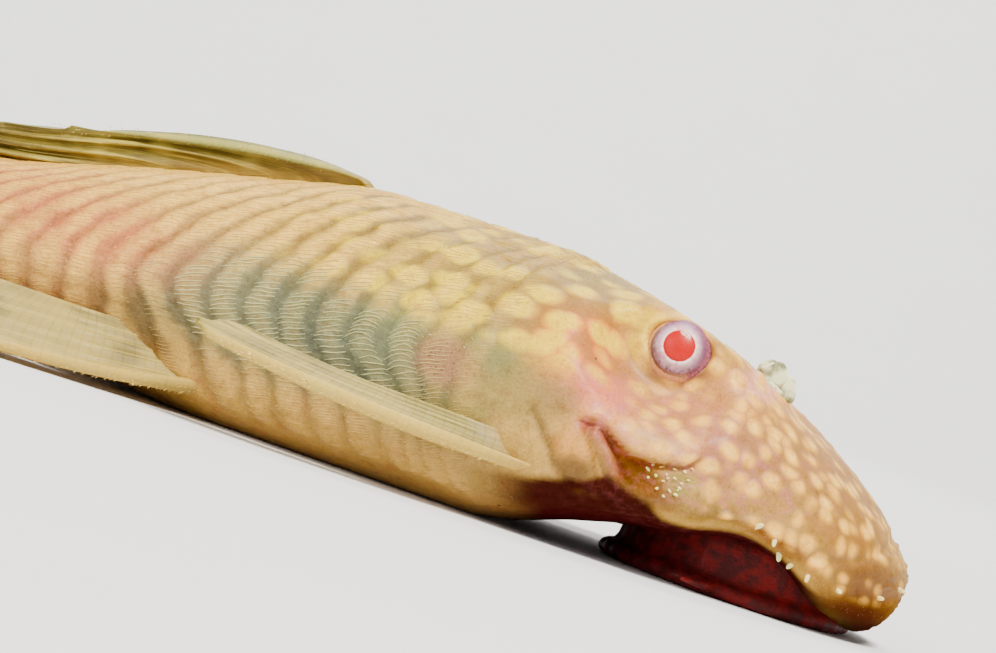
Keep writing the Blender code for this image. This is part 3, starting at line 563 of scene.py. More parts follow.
# Washes over the skin, a few of them painted shade: (behind, height, half length, half height, lean, colour,
# strength)
WASHES = (
    (52, 13.0, 20, 4.5, 0.0, (214, 190, 126), 0.85),
    (34, 14.0, 9, 4.0, 0.0, (190, 170, 82), 0.85),
    (24, 15.0, 6, 3.0, 0.0, (196, 172, 82), 0.80),
    (28, 8.0, 3.2, 5.0, 0.0, (190, 168, 112), 0.80),
    (33.5, 5.6, 4.0, 2.2, 0.0, (146, 140, 94), 0.88),
    (41.5, 8.0, 10.5, 3.6, 0.15, (154, 152, 124), 0.96),
    (38.2, 7.6, 4.5, 2.6, 0.0, (100, 100, 88), 0.92),
    (45.6, 8.8, 3.4, 1.9, 0.0, (182, 178, 150), 0.80),
    (47.5, 5.2, 5.0, 2.0, 0.0, (160, 146, 98), 0.85),
    # Painted shadow on the low flank above the pelvic fin
    (51.5, 5.0, 5.0, 1.7, 0.0, (140, 118, 78), 0.85),
    (29.4, 10.1, 2.2, 1.6, 0.0, (164, 160, 118), 0.85),
    (35.6, 9.3, 2.6, 2.2, 0.0, (166, 166, 130), 0.80),
    (31.9, 8.3, 1.9, 1.5, 0.0, (184, 146, 112), 0.85),
    (56.0, 9.0, 9.0, 2.6, 0.35, (214, 162, 124), 0.85),
    (53.5, 3.8, 8.0, 1.6, 0.0, (176, 128, 80), 0.85),
    (69.0, 4.0, 15.0, 2.6, 0.0, (206, 158, 108), 0.70),
    (24.4, 12.2, 3.2, 2.4, 0.0, (230, 166, 120), 0.80),
    (22.0, 9.6, 2.3, 1.7, 0.0, (224, 150, 148), 0.80),
    (16.5, 10.4, 4.5, 2.8, 0.0, (214, 174, 144), 0.80),
    (13.2, 8.4, 3.4, 2.0, 0.0, (206, 160, 146), 0.70),
    (8.5, 9.6, 5.0, 3.2, 0.0, (202, 166, 110), 0.85),
    (4.5, 6.3, 3.6, 2.6, 0.0, (196, 156, 86), 0.85),
    # The next four: the snout's own orange-brown, deepened with painted shade towards the floor and under the
    # head's rim
    (2.6, 3.6, 3.4, 1.9, 0.0, (164, 112, 42), 0.92),
    (3.2, 2.0, 3.6, 1.1, 0.0, (116, 62, 16), 0.96),
    (1.8, 1.0, 2.6, 0.9, 0.0, (84, 34, 8), 0.97),
    (14.0, 5.0, 2.6, 1.0, 0.0, (180, 148, 82), 0.88),
    (9.6, 4.3, 2.8, 0.8, 0.0, (166, 104, 36), 0.85),
    (19.5, 15.2, 2.6, 1.6, 0.0, (220, 192, 106), 0.80),
    (11.5, 13.0, 6.0, 2.0, -0.4, (214, 178, 92), 0.75),
    (13.0, 13.2, 2.0, 1.1, -0.5, (230, 204, 200), 0.80),
    # Painted shadow on the low flank above the pelvic fin
    (49.8, 5.0, 3.6, 1.8, 0.0, (132, 108, 70), 0.90),
)
# Patches on the sides of the head, three of them painted shade: (centre as behind and height, half sizes,
# colour, strength)
PATCHES = (
    # The next two: painted shade in the pocket under the cheek plate
    ((19.0, 5.8), (1.7, 1.3), (150, 98, 34), 0.95),
    ((17.2, 5.2), (1.5, 0.9), (158, 100, 44), 0.85),
    ((16.2, 6.2), (1.0, 0.8), (190, 174, 114), 0.85),
    ((22.9, 6.2), (1.4, 1.8), (216, 184, 126), 0.90),
    # Painted shade under the shoulder's lobe
    ((22.4, 5.0), (1.3, 0.7), (158, 118, 58), 0.90),
    ((26.4, 5.4), (1.9, 1.4), (206, 180, 122), 0.85),
    ((24.8, 8.6), (1.6, 1.2), (178, 150, 110), 0.65),
)
# Lilac clouds on the cheek: (centre as behind and height, half sizes)
LILAC_CLOUDS = (((13.5, 8.2), (6.5, 3.2)), ((21.5, 9.6), (2.4, 2.2)))
# Stripes at and behind the cheek, all but the pale ridge painted shade: (line, half width, colour, strength)
STRIPES = (
    # The next two: painted shade in the gill slit under the cheek plate's rear edge
    (((22.6, 7.8), (21.9, 7.6), (21.2, 7.3), (20.5, 6.8)), 0.52, (188, 106, 26), 0.98),
    (((20.9, 7.0), (20.2, 6.3), (19.5, 5.5)), 0.30, (168, 100, 34), 0.85),
    (((21.9, 7.4), (21.2, 6.75), (20.6, 6.1), (20.2, 5.5)), 0.26, (204, 160, 140), 0.90),
    # Painted shade in the groove behind the gill's ridge
    (((22.4, 7.2), (21.8, 6.3), (21.2, 5.4), (20.9, 4.8)), 0.16, (176, 128, 62), 0.80),
    # Painted shade in the shoulder's fold
    (SHOULDER_FOLD, 0.26, (160, 124, 62), 0.70),
)
# What the lighter hairs on the plates and the lighter grain multiply the skin's colour by
LIGHTER = (1.16, 1.18, 1.22)
FINE_LIGHT = (1.14, 1.15, 1.20)


def tinted(base, colour, share):
    """base, shifted towards a colour by each point's share."""
    return base + (colour - base) * share[..., None]


def throat_red_and_shade(point):
    """How much of the throat's deep red each point takes: its own red, darkened with painted shade."""
    behind, height = SNOUT_X - point[..., 0], point[..., 2]
    low = 1 - smooth((height - height_of(THROAT_TOP, behind) + 0.25) / 0.7)
    return within(behind, 13.4, 1.6, 24.0, 6.5) * low


def deep_share(point, degrees):
    """How dull each point is: the throat, the cheek's pocket and the head's lower rim don't shine."""
    behind, height = SNOUT_X - point[..., 0], point[..., 2]
    rim = smooth((from_back(degrees) - 92) / 14) * (1 - smooth((behind - 24) / 6))
    pocket = mound(behind, height, CHEEK_POCKET, (2.2, 1.6))
    under = smooth((from_back(degrees) - 104) / 20) * 0.6
    return np.clip(np.maximum(np.maximum(throat_red_and_shade(point), rim), np.maximum(pocket, under)), 0, 1)


def cheek_tinted(colour, point):
    """Colours the patches and stripes on the sides of the head, and both sides of the cheek plate's edge,
    with painted shade in the pocket, the gill slit, the grooves and under the plate's edge.
    """
    behind, height = SNOUT_X - point[..., 0], point[..., 2]
    lateral = smooth((np.abs(point[..., 1]) - 7.0) / 3.0)
    for centre, size, tint, strength in PATCHES:
        colour = tinted(colour, paint(*tint), strength * lateral * mound(behind, height, centre, size))
    edge = line_distance(behind, height, CHEEK_EDGE)
    below = height < height_of(CHEEK_EDGE, behind)
    reach = within(behind, CHEEK_FRONT, 0.6, CHEEK_REAR, 0.6) * lateral
    slit = 0.26 + 0.24 * smooth((behind - 19.0) / 2.4)
    shade = 0.45 + 0.50 * smooth((behind - 16.2) / 2.0)
    # Painted shade in the slit under the cheek plate's free edge
    colour = tinted(colour, paint(190, 122, 46), shade * bump_at(edge - 0.7 * slit, slit) * below * reach)
    colour = tinted(colour, paint(232, 208, 160), 0.45 * bump_at(edge - 0.75, 0.7) * ~below * reach)
    for line, width, tint, strength in STRIPES:
        share = strength * lateral * bump_at(line_distance(behind, height, line), width)
        colour = tinted(colour, paint(*tint), share)
    return colour


def wash_at(point, degrees):
    """The skin's broad colour at each point, with painted shade under the head, in the cheek's hollows and
    low on the flank.
    """
    behind, height = SNOUT_X - point[..., 0], point[..., 2]
    colour = np.broadcast_to(CREAM, point.shape).copy()
    for place, level, length, tall, lean, tint, strength in WASHES:
        away = np.hypot((behind - place - lean * (height - level)) / length, (height - level) / tall)
        colour = tinted(colour, paint(*tint), strength * bump_at(away ** 1.5, 1.0))
    colour = cheek_tinted(colour, point)
    # The throat's own deep red, darkened with painted shade
    colour = tinted(colour, paint(92, 24, 10), 0.99 * throat_red_and_shade(point))
    # Pale belly, turning under the head to a deep red that is partly painted shade
    under = smooth((from_back(degrees) - 116) / 18) * smooth((behind - 4) / 3)
    red = 1 - smooth((behind - 23) / 6)
    belly = tinted(np.broadcast_to(paint(210, 182, 136), point.shape), paint(96, 28, 12), red)
    colour = tinted(colour, belly, under * (0.75 + 0.25 * red))
    for side in (-1, 1):
        away = np.linalg.norm(point - nostril_centre(side)[0], axis=-1)
        colour = tinted(colour, paint(228, 204, 206), 0.75 * bump_at(away, 1.3))
    return orbit_tinted(colour, point)


def orbit_tinted(colour, point):
    """A pale lid behind and above each eye, a brown line of painted shadow under it and a ring of painted
    shade in the groove outside.
    """
    turned_point = orbit_turned(point)
    for side in (-1, 1):
        gaze = eye_gaze(side)
        away = turned_point - eye_centre(side)
        flat = away - (away @ gaze)[..., None] * gaze
        across = np.linalg.norm(flat, axis=-1)
        toward = (flat[..., 2] - flat[..., 0]) / np.maximum(across, 0.1) / 1.41
        near = (point[..., 1] * side > 0) * 1.0
        for tint, strength, reach, width, share in (
                ((246, 228, 160), 0.90, 2.25, 0.34, smooth(toward + 0.55)),
                # Painted shadow under the eye
                ((168, 108, 66), 0.70, 2.05, 0.20, smooth(0.2 - toward)),
                # Painted shade in the groove outside the lid
                ((186, 138, 80), 0.70, 2.90, 0.24, smooth(toward + 0.3))):
            colour = tinted(colour, paint(*tint), near * strength * bump_at(across - reach, width) * share)
    return colour


def skin_grid():
    """The places and angles of the skin's grid, closer where the form is finest."""
    head = HEAD_END * (np.arange(HEAD_ROWS) / HEAD_ROWS) ** 1.35
    trunk = np.linspace(HEAD_END, TRUNK_END, TRUNK_ROWS, endpoint=False)
    tail = np.linspace(TRUNK_END, STANDARD_LENGTH + STALK_CLOSE, TAIL_ROWS)
    fine = np.linspace(0, BELLY_DEGREES, 2001)
    line = section(np.full(fine.shape, 20.0), fine)
    height = line[:, 2]
    close = 1.0 + 0.9 * bump_at((height - 5.8) / 2.6, 1.0) + 0.5 * bump_at((height - 13.4) / 1.9, 1.0)
    steps = np.linalg.norm(np.diff(line, axis=0), axis=1) * (close[1:] + close[:-1]) / 2
    run = np.concatenate([[0], np.cumsum(steps)])
    side = np.interp(np.linspace(0, run[-1], SIDE_COLUMNS, endpoint=False), run, fine)
    belly = np.linspace(BELLY_DEGREES, 360 - BELLY_DEGREES, BELLY_COLUMNS, endpoint=False)
    angles = np.concatenate([side, belly, 360 - side[::-1]])
    places = np.concatenate([head, trunk, tail])
    return np.meshgrid(places, angles, indexing="ij")


def skin_marks(place, degrees):
    """What the skin's finish reads: its broad colour, its place on the plates and each marking's reach."""
    flat = surface(place, degrees)
    behind, height = SNOUT_X - flat[..., 0], flat[..., 2]
    plates = plates_on(place, degrees) * (0.25 + 0.75 * smooth((place - 34) / 8))
    plates = plates * (1 - 0.55 * smooth((from_back(degrees) - 76) / 14))
    spots = (1 - smooth((from_back(degrees) - 98) / 12)) * (1 - smooth((behind - 17) / 6))
    spots = spots * (0.35 + 0.65 * smooth((behind - 1.0) / 2.5)) * smooth((height - 1.9) / 1.4)
    spots = spots * smooth((oval(behind, height, (18.0, 5.2), (4.0, 2.2)) - 0.8) / 0.4)
    lilac = sum(bump_at(oval(behind, height, centre, size), 1.0) for centre, size in LILAC_CLOUDS)
    grey = oval(behind, height, (41.6, 7.2), (11.5, 4.2))
    pink = oval(behind - 0.4 * (height - 9), height, (57.0, 9.0), (11.0, 2.6))
    return {
        "wash": np.concatenate([wash_at(flat, degrees), np.ones(place.shape + (1,))], -1),
        "file": file_at(place + slant(place, degrees) + uneven(flat)),
        "row": row_at(degrees + wander(flat, 4.0, 6, 3.0)),
        "plates": plates,
        "spots": spots,
        "nape": within(behind, 18, 5, 38, 8) * smooth((height - 9.6) / 1.8),
        "lilac": np.minimum(lilac, 1.0),
        "grey": 1 - smooth((grey - 0.40) / 0.66),
        "pink": bump_at(pink, 1.0),
        "stipple": mound(behind, height, (31.9, 8.4), (1.7, 1.35)),
        "deep": deep_share(flat, degrees),
    }


def skin():
    """The whole body's skin: one closed form from snout to tail root."""
    place, degrees = skin_grid()
    point = skin_at(place, degrees)
    point[0] = np.array([SNOUT_X, 0, BACK[0][1]])
    point[-1] = point[-1].mean(axis=0)
    piece = lofted("skin", point)
    for name, values in skin_marks(place, degrees).items():
        marked(piece, name, values.reshape(-1, *values.shape[2:]))
    piece.data.materials.clear()
    piece.data.materials.append(skin_finish())
    return put(sealed(piece), "head_skin", "head", "trunk", "tail_stalk")


class Finish:
    """A material in the making. Each call adds one node and gives back its output."""

    def __init__(self, name):
        self.material = bpy.data.materials.new(name)
        self.material.use_nodes = True
        self.tree = self.material.node_tree
        self.shader = self.tree.nodes["Principled BSDF"]

    def feed(self, socket, value):
        """Links an output to a socket, or sets a plain value on it."""
        if isinstance(value, bpy.types.NodeSocket):
            self.tree.links.new(value, socket)
        elif socket.type == "RGBA":
            socket.default_value = (*value[:3], 1.0)
        else:
            socket.default_value = value

    def add(self, kind, output, settings, **inputs):
        """Inputs go by name, or by number as i0, i1 and so on."""
        node = self.tree.nodes.new("ShaderNode" + kind)
        for key, value in settings:
            setattr(node, key, value)
        for key, value in inputs.items():
            numbered = key[0] == "i" and key[1:].isdigit()
            self.feed(node.inputs[int(key[1:]) if numbered else key], value)
        return node.outputs[output]

    def math(self, operation, first, second=0.0, third=0.0, clamp=False):
        """One sum on numbers."""
        settings = (("operation", operation), ("use_clamp", clamp))
        return self.add("Math", 0, settings, i0=first, i1=second, i2=third)

    def times(self, first, second):
        """The product of two numbers."""
        return self.math("MULTIPLY", first, second)

    def stirred(self, value, noise, amount):
        """A value that a noise pushes up and down, by half the amount each way."""
        return self.math("MULTIPLY_ADD", noise, amount, self.math("SUBTRACT", value, amount / 2))

    def mix(self, share, first, second, blend="MIX"):
        """A colour from the first at share 0 to the second at share 1."""
        return self.add("Mix", 2, (("data_type", "RGBA"), ("blend_type", blend), ("clamp_factor", True)),
                        i0=share, i6=first, i7=second)

    def between(self, value, low, high, start=0.0, end=1.0):
        """value smoothly from start to end as it goes from low to high."""
        return self.add("MapRange", 0, (("interpolation_type", "SMOOTHSTEP"),), i0=value, i1=low, i2=high,
                        i3=start, i4=end)

    def mark(self, name, output="Fac"):
        """What marked() gave to each point under this name."""
        node = self.tree.nodes.new("ShaderNodeAttribute")
        node.attribute_name = name
        return node.outputs[output]

    def place(self, scale=(1, 1, 1)):
        """Object coordinates in millimetres, stretched by scale."""
        spot = self.tree.nodes.new("ShaderNodeTexCoord").outputs["Object"]
        return self.scaled(spot, tuple(1000 * s for s in scale))

    def scaled(self, vector, scale):
        """A vector stretched along each axis."""
        return self.add("VectorMath", 0, (("operation", "MULTIPLY"),), i0=vector, i1=scale)

    def noise(self, vector, scale, detail, rough=0.55, distortion=0.0):
        """Cloudy noise round 0.5."""
        return self.add("TexNoise", 0, (), Vector=vector, Scale=scale, Detail=detail, Roughness=rough,
                        Distortion=distortion)

    def cells(self, vector, scale, randomness=1.0):
        """The distance to the nearest of many scattered points."""
        return self.add("TexVoronoi", "Distance", (), Vector=vector, Scale=scale, Randomness=randomness)

    def raised(self, height, distance, normal=None, strength=1.0):
        """A surface's normal with a height added, whose distance is in metres."""
        inputs = {"Height": height, "Distance": distance, "Strength": strength}
        if normal is not None:
            inputs["Normal"] = normal
        return self.add("Bump", 0, (), **inputs)

    def done(self, colour, roughness, normal=None, **fixed):
        """The finished material. Fixed values go by their sockets' names."""
        self.feed(self.shader.inputs["Base Color"], colour)
        self.feed(self.shader.inputs["Roughness"], roughness)
        if normal is not None:
            self.feed(self.shader.inputs["Normal"], normal)
        for key, value in fixed.items():
            self.shader.inputs[key.replace("_", " ")].default_value = value
        return self.material


def skin_ground(coat, cloud, mottle):
    """The broad colours, drifting towards olive and towards pink, with lilac clouds on the cheek."""
    olive, rosy = (0.90, 0.92, 0.62), (1.04, 0.86, 0.90)
    wash = coat.mark("wash", "Color")
    ground = coat.mix(coat.between(mottle, 0.47, 0.30, 0.0, 0.8), wash, olive, "MULTIPLY")
    ground = coat.mix(coat.between(mottle, 0.53, 0.70, 0.0, 0.8), ground, rosy, "MULTIPLY")
    lilac = coat.times(coat.between(cloud, 0.46, 0.62, 0.0, 0.65), coat.mark("lilac"))
    return coat.mix(lilac, ground, paint(208, 146, 156))


def skin_spots(coat, colour, where, grain, cloud):
    """Cream spots in darker rings on the snout, yellow patches on the nape, and how far both stand out."""
    drift = coat.add("TexNoise", 1, (), Vector=where, Scale=0.50, Detail=1.0)
    shifted = (("operation", "MULTIPLY_ADD"),)
    loosened = coat.add("VectorMath", 0, shifted, i0=drift, i1=(0.9, 0.9, 0.9), i2=where)
    small = coat.cells(coat.scaled(loosened, (0.66, 0.70, 0.76)), 1.0, 0.75)
    small = coat.stirred(small, grain, 0.18)
    on_snout = coat.mark("spots")
    spot = coat.times(coat.between(small, 0.56, 0.24), on_snout)
    core = coat.times(coat.between(small, 0.34, 0.10, 0.0, 0.45), on_snout)
    ring = coat.times(coat.between(small, 0.48, 0.70, 0.0, 0.6), on_snout)
    wide = coat.cells(coat.scaled(loosened, (0.40, 0.50, 0.54)), 1.0, 0.80)
    wide = coat.stirred(wide, grain, 0.14)
    wide = coat.stirred(wide, cloud, 0.30)
    on_nape = coat.mark("nape")
    net = coat.times(coat.between(wide, 0.46, 0.68), on_nape)
    patch = coat.times(coat.between(wide, 0.60, 0.32), on_nape)
    colour = coat.mix(ring, colour, (0.80, 0.70, 0.62), "MULTIPLY")
    colour = coat.mix(coat.times(spot, 0.85), colour, paint(240, 216, 150))
    colour = coat.mix(core, colour, paint(252, 238, 196))
    colour = coat.mix(coat.times(net, 0.60), colour, paint(180, 148, 84))
    colour = coat.mix(coat.times(patch, 0.85), colour, paint(234, 220, 122))
    return colour, coat.math("ADD", spot, patch)


def edge_distance(coat, noise, amount):
    """How far each place is from its plate's rear edge, which a noise makes uneven."""
    share = coat.math("FRACT", coat.mark("file"))
    shifted = coat.math("MULTIPLY_ADD", noise, amount, coat.math("ADD", share, 0.45 - amount / 2))
    return coat.math("ABSOLUTE", coat.math("SUBTRACT", coat.math("FRACT", shifted), 0.45))


def skin_plates(coat, colour, where, cloud, mottle, streak):
    """Pale streaked plates, their ragged ochre edges deepened by painted shade, a pink flush and the flank's
    grey field.
    """
    plates, grey_field = coat.mark("plates"), coat.mark("grey")
    ragged, calm = edge_distance(coat, streak, 0.26), edge_distance(coat, cloud, 0.12)
    blotch = coat.noise(where, 0.35, 2.0, 0.5)
    flush = coat.times(coat.between(blotch, 0.34, 0.54, 0.25, 1.0), coat.mark("pink"))
    pale = coat.times(coat.between(calm, 0.12, 0.44), plates)
    pale = coat.times(pale, coat.math("MULTIPLY_ADD", flush, -0.45, 0.74))
    colour = coat.mix(pale, colour, paint(244, 226, 166))
    broad = coat.times(coat.between(calm, 0.44, 0.08), flush)
    colour = coat.mix(coat.times(broad, 0.45), colour, paint(218, 166, 136))
    edge_colour = coat.mix(flush, paint(178, 144, 84), paint(188, 136, 104))
    # Ochre at each plate's ragged rear edge, partly painted shadow where it steps onto the next
    rear = coat.times(coat.between(ragged, 0.27, 0.0), plates)
    rear = coat.times(rear, coat.between(mottle, 0.40, 0.56, 0.35, 1.0))
    colour = coat.mix(coat.times(rear, 0.55), colour, edge_colour)
    # The same colour along the grooves between rows, as painted shade
    row = coat.math("PINGPONG", coat.math("FRACT", coat.mark("row")), 0.5)
    seam = coat.times(coat.between(row, 0.06, 0.0), coat.times(plates, 0.12))
    colour = coat.mix(seam, colour, edge_colour)
    lit = coat.times(coat.between(streak, 0.50, 0.66, 0.0, 0.40), plates)
    colour = coat.mix(lit, colour, LIGHTER, "MULTIPLY")
    shaded = coat.times(coat.between(streak, 0.48, 0.34, 0.0, 0.60), plates)
    colour = coat.mix(shaded, colour, (0.80, 0.72, 0.62), "MULTIPLY")
    slate = coat.mix(coat.between(mottle, 0.40, 0.60), paint(146, 144, 128), paint(164, 160, 130))
    slate = coat.mix(0.5, coat.mark("wash", "Color"), slate)
    slate = coat.mix(coat.between(streak, 0.46, 0.62, 0.0, 0.4), slate, paint(190, 188, 164))
    colour = coat.mix(coat.times(grey_field, 0.85), colour, slate)
    # Darker bands at the grey field's plate edges, painted shade under the combs' ends
    dark = coat.times(coat.between(calm, 0.36, 0.04), grey_field)
    return coat.mix(coat.times(dark, 0.46), colour, paint(108, 106, 94))


def skin_flecks(coat, colour, where, grain, cloud):
    """The stippled red patch behind the head, the fine grain over everything and a few dark freckles."""
    dots = coat.between(coat.cells(where, 3.6), 0.34, 0.12)
    red = coat.mix(dots, paint(192, 156, 126), paint(142, 98, 78))
    colour = coat.mix(coat.mark("stipple"), colour, red)
    colour = coat.mix(coat.between(cloud, 0.52, 0.70), colour, FINE_LIGHT, "MULTIPLY")
    colour = coat.mix(coat.between(cloud, 0.48, 0.30), colour, (0.84, 0.76, 0.66), "MULTIPLY")
    colour = coat.mix(coat.between(grain, 0.44, 0.68), colour, FINE_LIGHT, "MULTIPLY")
    colour = coat.mix(coat.between(grain, 0.48, 0.25), colour, (0.78, 0.70, 0.60), "MULTIPLY")
    fleck = coat.tree.nodes.new("ShaderNodeTexVoronoi")
    coat.feed(fleck.inputs["Vector"], where)
    fleck.inputs["Scale"].default_value = 0.42
    rare = coat.between(fleck.outputs["Color"], 0.70, 0.74)
    dot = coat.times(coat.between(fleck.outputs["Distance"], 0.060, 0.040), rare)
    return coat.mix(coat.times(dot, 0.85), colour, paint(74, 44, 24))


def skin_finish():
    """Cream spots and patches over tan, ochre plate edges with painted shade, a grey flank and a wet sheen.
    """
    coat = Finish("pleco_skin")
    where = coat.place()
    grain = coat.noise(where, 5.5, 3.0, 0.65)
    cloud = coat.noise(where, 1.5, 3.0, 0.6)
    mottle = coat.noise(where, 0.55, 4.0, 0.6)
    streak = coat.noise(coat.scaled(where, (0.6, 3.4, 3.4)), 1.0, 3.0, 0.6)
    colour = skin_ground(coat, cloud, mottle)
    colour, spots = skin_spots(coat, colour, where, grain, cloud)
    colour = skin_plates(coat, colour, where, cloud, mottle, streak)
    colour = skin_flecks(coat, colour, where, grain, cloud)
    normal = coat.raised(spots, 0.00009)
    normal = coat.raised(coat.math("MULTIPLY_ADD", cloud, 0.5, grain), 0.00006, normal)
    normal = coat.raised(coat.times(streak, coat.mark("plates")), 0.00012, normal)
    deep = coat.mark("deep")
    coat.feed(coat.shader.inputs["Specular IOR Level"], coat.between(deep, 0.0, 1.0, 0.26, 0.0))
    coat.feed(coat.shader.inputs["Coat Weight"], coat.between(deep, 0.0, 1.0, 0.07, 0.0))
    return coat.done(colour, coat.between(grain, 0.3, 0.7, 0.40, 0.60), normal, Coat_Roughness=0.20,
                     Subsurface_Weight=0.20, Subsurface_Radius=(1.0, 0.42, 0.20), Subsurface_Scale=0.0008)


def joined(name, units, faces, colours, uvs=None):
    """One mesh of many like shapes: units is (count, corners, 3) and faces are those of one shape."""
    count, corners = units.shape[:2]
    mesh = bpy.data.meshes.new(name)
    every = (np.arange(count)[:, None, None] * corners + np.array(faces)[None]).reshape(-1, len(faces[0]))
    mesh.from_pydata((units.reshape(-1, 3) * MM).tolist(), [], every.tolist())
    piece = bpy.data.objects.new(name, mesh)
    bpy.context.scene.collection.objects.link(piece)
    marked(piece, "wash", np.repeat(np.concatenate([colours, np.ones((count, 1))], -1), corners, axis=0))
    if uvs is not None:
        layer = mesh.uv_layers.new(name="OFBake")
        corner = np.empty(len(mesh.loops), np.int32)
        mesh.loops.foreach_get("vertex_index", corner)
        turn = np.arange(corners) * 2.4
        around = np.stack([np.cos(turn), np.sin(turn)], -1) * UV_PATCH / 2
        spread = (uvs[:, None, :] + around[None]).reshape(-1, 2)
        layer.data.foreach_set("uv", spread[corner].astype(np.float32).ravel())
    return piece


def bar_faces(rings):
    """The faces of a closed bar through rings of four points."""
    faces = []
    for part in range(rings - 1):
        for k in range(4):
            a, b = part * 4 + k, part * 4 + (k + 1) % 4
            faces += [(a, b, b + 4), (a, b + 4, a + 4)]
    last = (rings - 1) * 4
    return faces + [(0, 2, 1), (0, 3, 2), (last, last + 1, last + 2), (last, last + 2, last + 3)]


def frame_of(normal, toward):
    """Unit vectors along, across and out of the skin at each root."""
    ahead = unit(toward - np.sum(toward * normal, -1, keepdims=True) * normal)
    return ahead, np.cross(normal, ahead)


def unwrap(place, degrees):
    """Where each place and angle lies on a flat picture of the whole skin."""
    return np.stack([place / 120 + 0.02, np.mod(degrees, 360) / 380 + 0.02], -1)


THORN_FACES = ((0, 1, 3), (1, 2, 3), (2, 0, 3), (0, 2, 1))


def odontodes():
    """The tiny leaning spines that stand on the head's skin and along the plates' rear edges."""
    chance = np.random.default_rng(31)
    count = 60000
    place = chance.uniform(1.5, 88.5, count)
    degrees = chance.uniform(-122, 122, count)
    behind = swept(place, degrees)
    half_width = profile(HALF_WIDTH, behind)
    share = file_at(place + slant(place, degrees)) % 1.0
    on_head = (place < PLATE_START) * 0.30
    on_edge = (place >= PLATE_START) * np.where(share > 0.72, 0.36, 0.10)
    keep = chance.uniform(size=count) < (on_head + on_edge) * (half_width / 14.5)
    place, degrees = place[keep], degrees[keep]
    root = skin_at(place, degrees)
    away = root[:, None, :] - np.stack([eye_centre(-1), eye_centre(1)])[None]
    behind, height = SNOUT_X - root[:, 0], root[:, 2]
    grey = oval(behind, height, (41.8, 7.4), (11.5, 4.2)) < 0.85
    throat = (oval(behind, height, (22.0, 5.0), (5.6, 3.6)) < 1) & (np.abs(root[:, 1]) > 7)
    keep = (np.linalg.norm(away, axis=-1) > 3.0).all(axis=1) & (height > 1.0) & ~grey & ~throat
    place, degrees, root = place[keep], degrees[keep], root[keep]
    normal = facing(skin_at, place, degrees, 0.12, 0.9)
    back = np.broadcast_to(np.array([-1.0, 0, -0.1]), root.shape)
    along, across = frame_of(normal, back)
    size = chance.uniform(0.6, 1.15, len(place)) * np.where(place < PLATE_START, 0.70, 0.9)
    base = root - normal * 0.03
    reach = 0.055 * size[:, None]
    corners = [base + along * reach, base - along * reach * 0.5 + across * reach * 0.85,
               base - along * reach * 0.5 - across * reach * 0.85,
               root + (normal * 0.085 + along * 0.16) * size[:, None]]
    colours = np.minimum(wash_at(root, degrees) * np.array([1.35, 1.4, 1.5]) + 0.02, 0.93)
    piece = joined("odontodes", np.stack(corners, axis=1), THORN_FACES, colours, unwrap(place, degrees))
    piece.data.materials.append(tooth_finish("odontode_enamel", 0.34))
    return put(sealed_joined(piece), "body_plates")


def sealed_joined(piece):
    """Turns the faces of each small shape outwards."""
    chosen(piece)
    bpy.ops.object.mode_set(mode="EDIT")
    bpy.ops.mesh.select_all(action="SELECT")
    bpy.ops.mesh.normals_make_consistent(inside=False)
    bpy.ops.object.mode_set(mode="OBJECT")
    return piece


def comb_lines(chance):
    """The start, the angle and the length of each comb: they cross every plate side by side."""
    starts, angles, lengths = [], [], []
    for file in range(PLATE_FILES):
        front, length = EDGES[file], EDGES[file + 1] - EDGES[file]
        girth = profile(HALF_WIDTH, np.array(front)) + 4.0
        step = math.degrees(COMB_PITCH / (0.62 * girth))
        for side in (-1, 1):
            degree = 6.0
            while degree < 122:
                if 0.04 < row_at(np.array(degree)) % 1.0 < 0.96:
                    starts.append(front + 0.16 * length)
                    lengths.append(0.70 * length)
                    angles.append(side * degree)
                degree += step * chance.uniform(0.9, 1.1)
    starts, angles, lengths = np.array(starts), np.array(angles), np.array(lengths)
    starts = starts - slant(starts, angles) + chance.uniform(-0.02, 0.10, len(starts)) * lengths
    lengths = lengths * chance.uniform(0.85, 1.05, len(starts))
    kept = starts > PLATE_START - 1.0
    return starts[kept], angles[kept], lengths[kept]


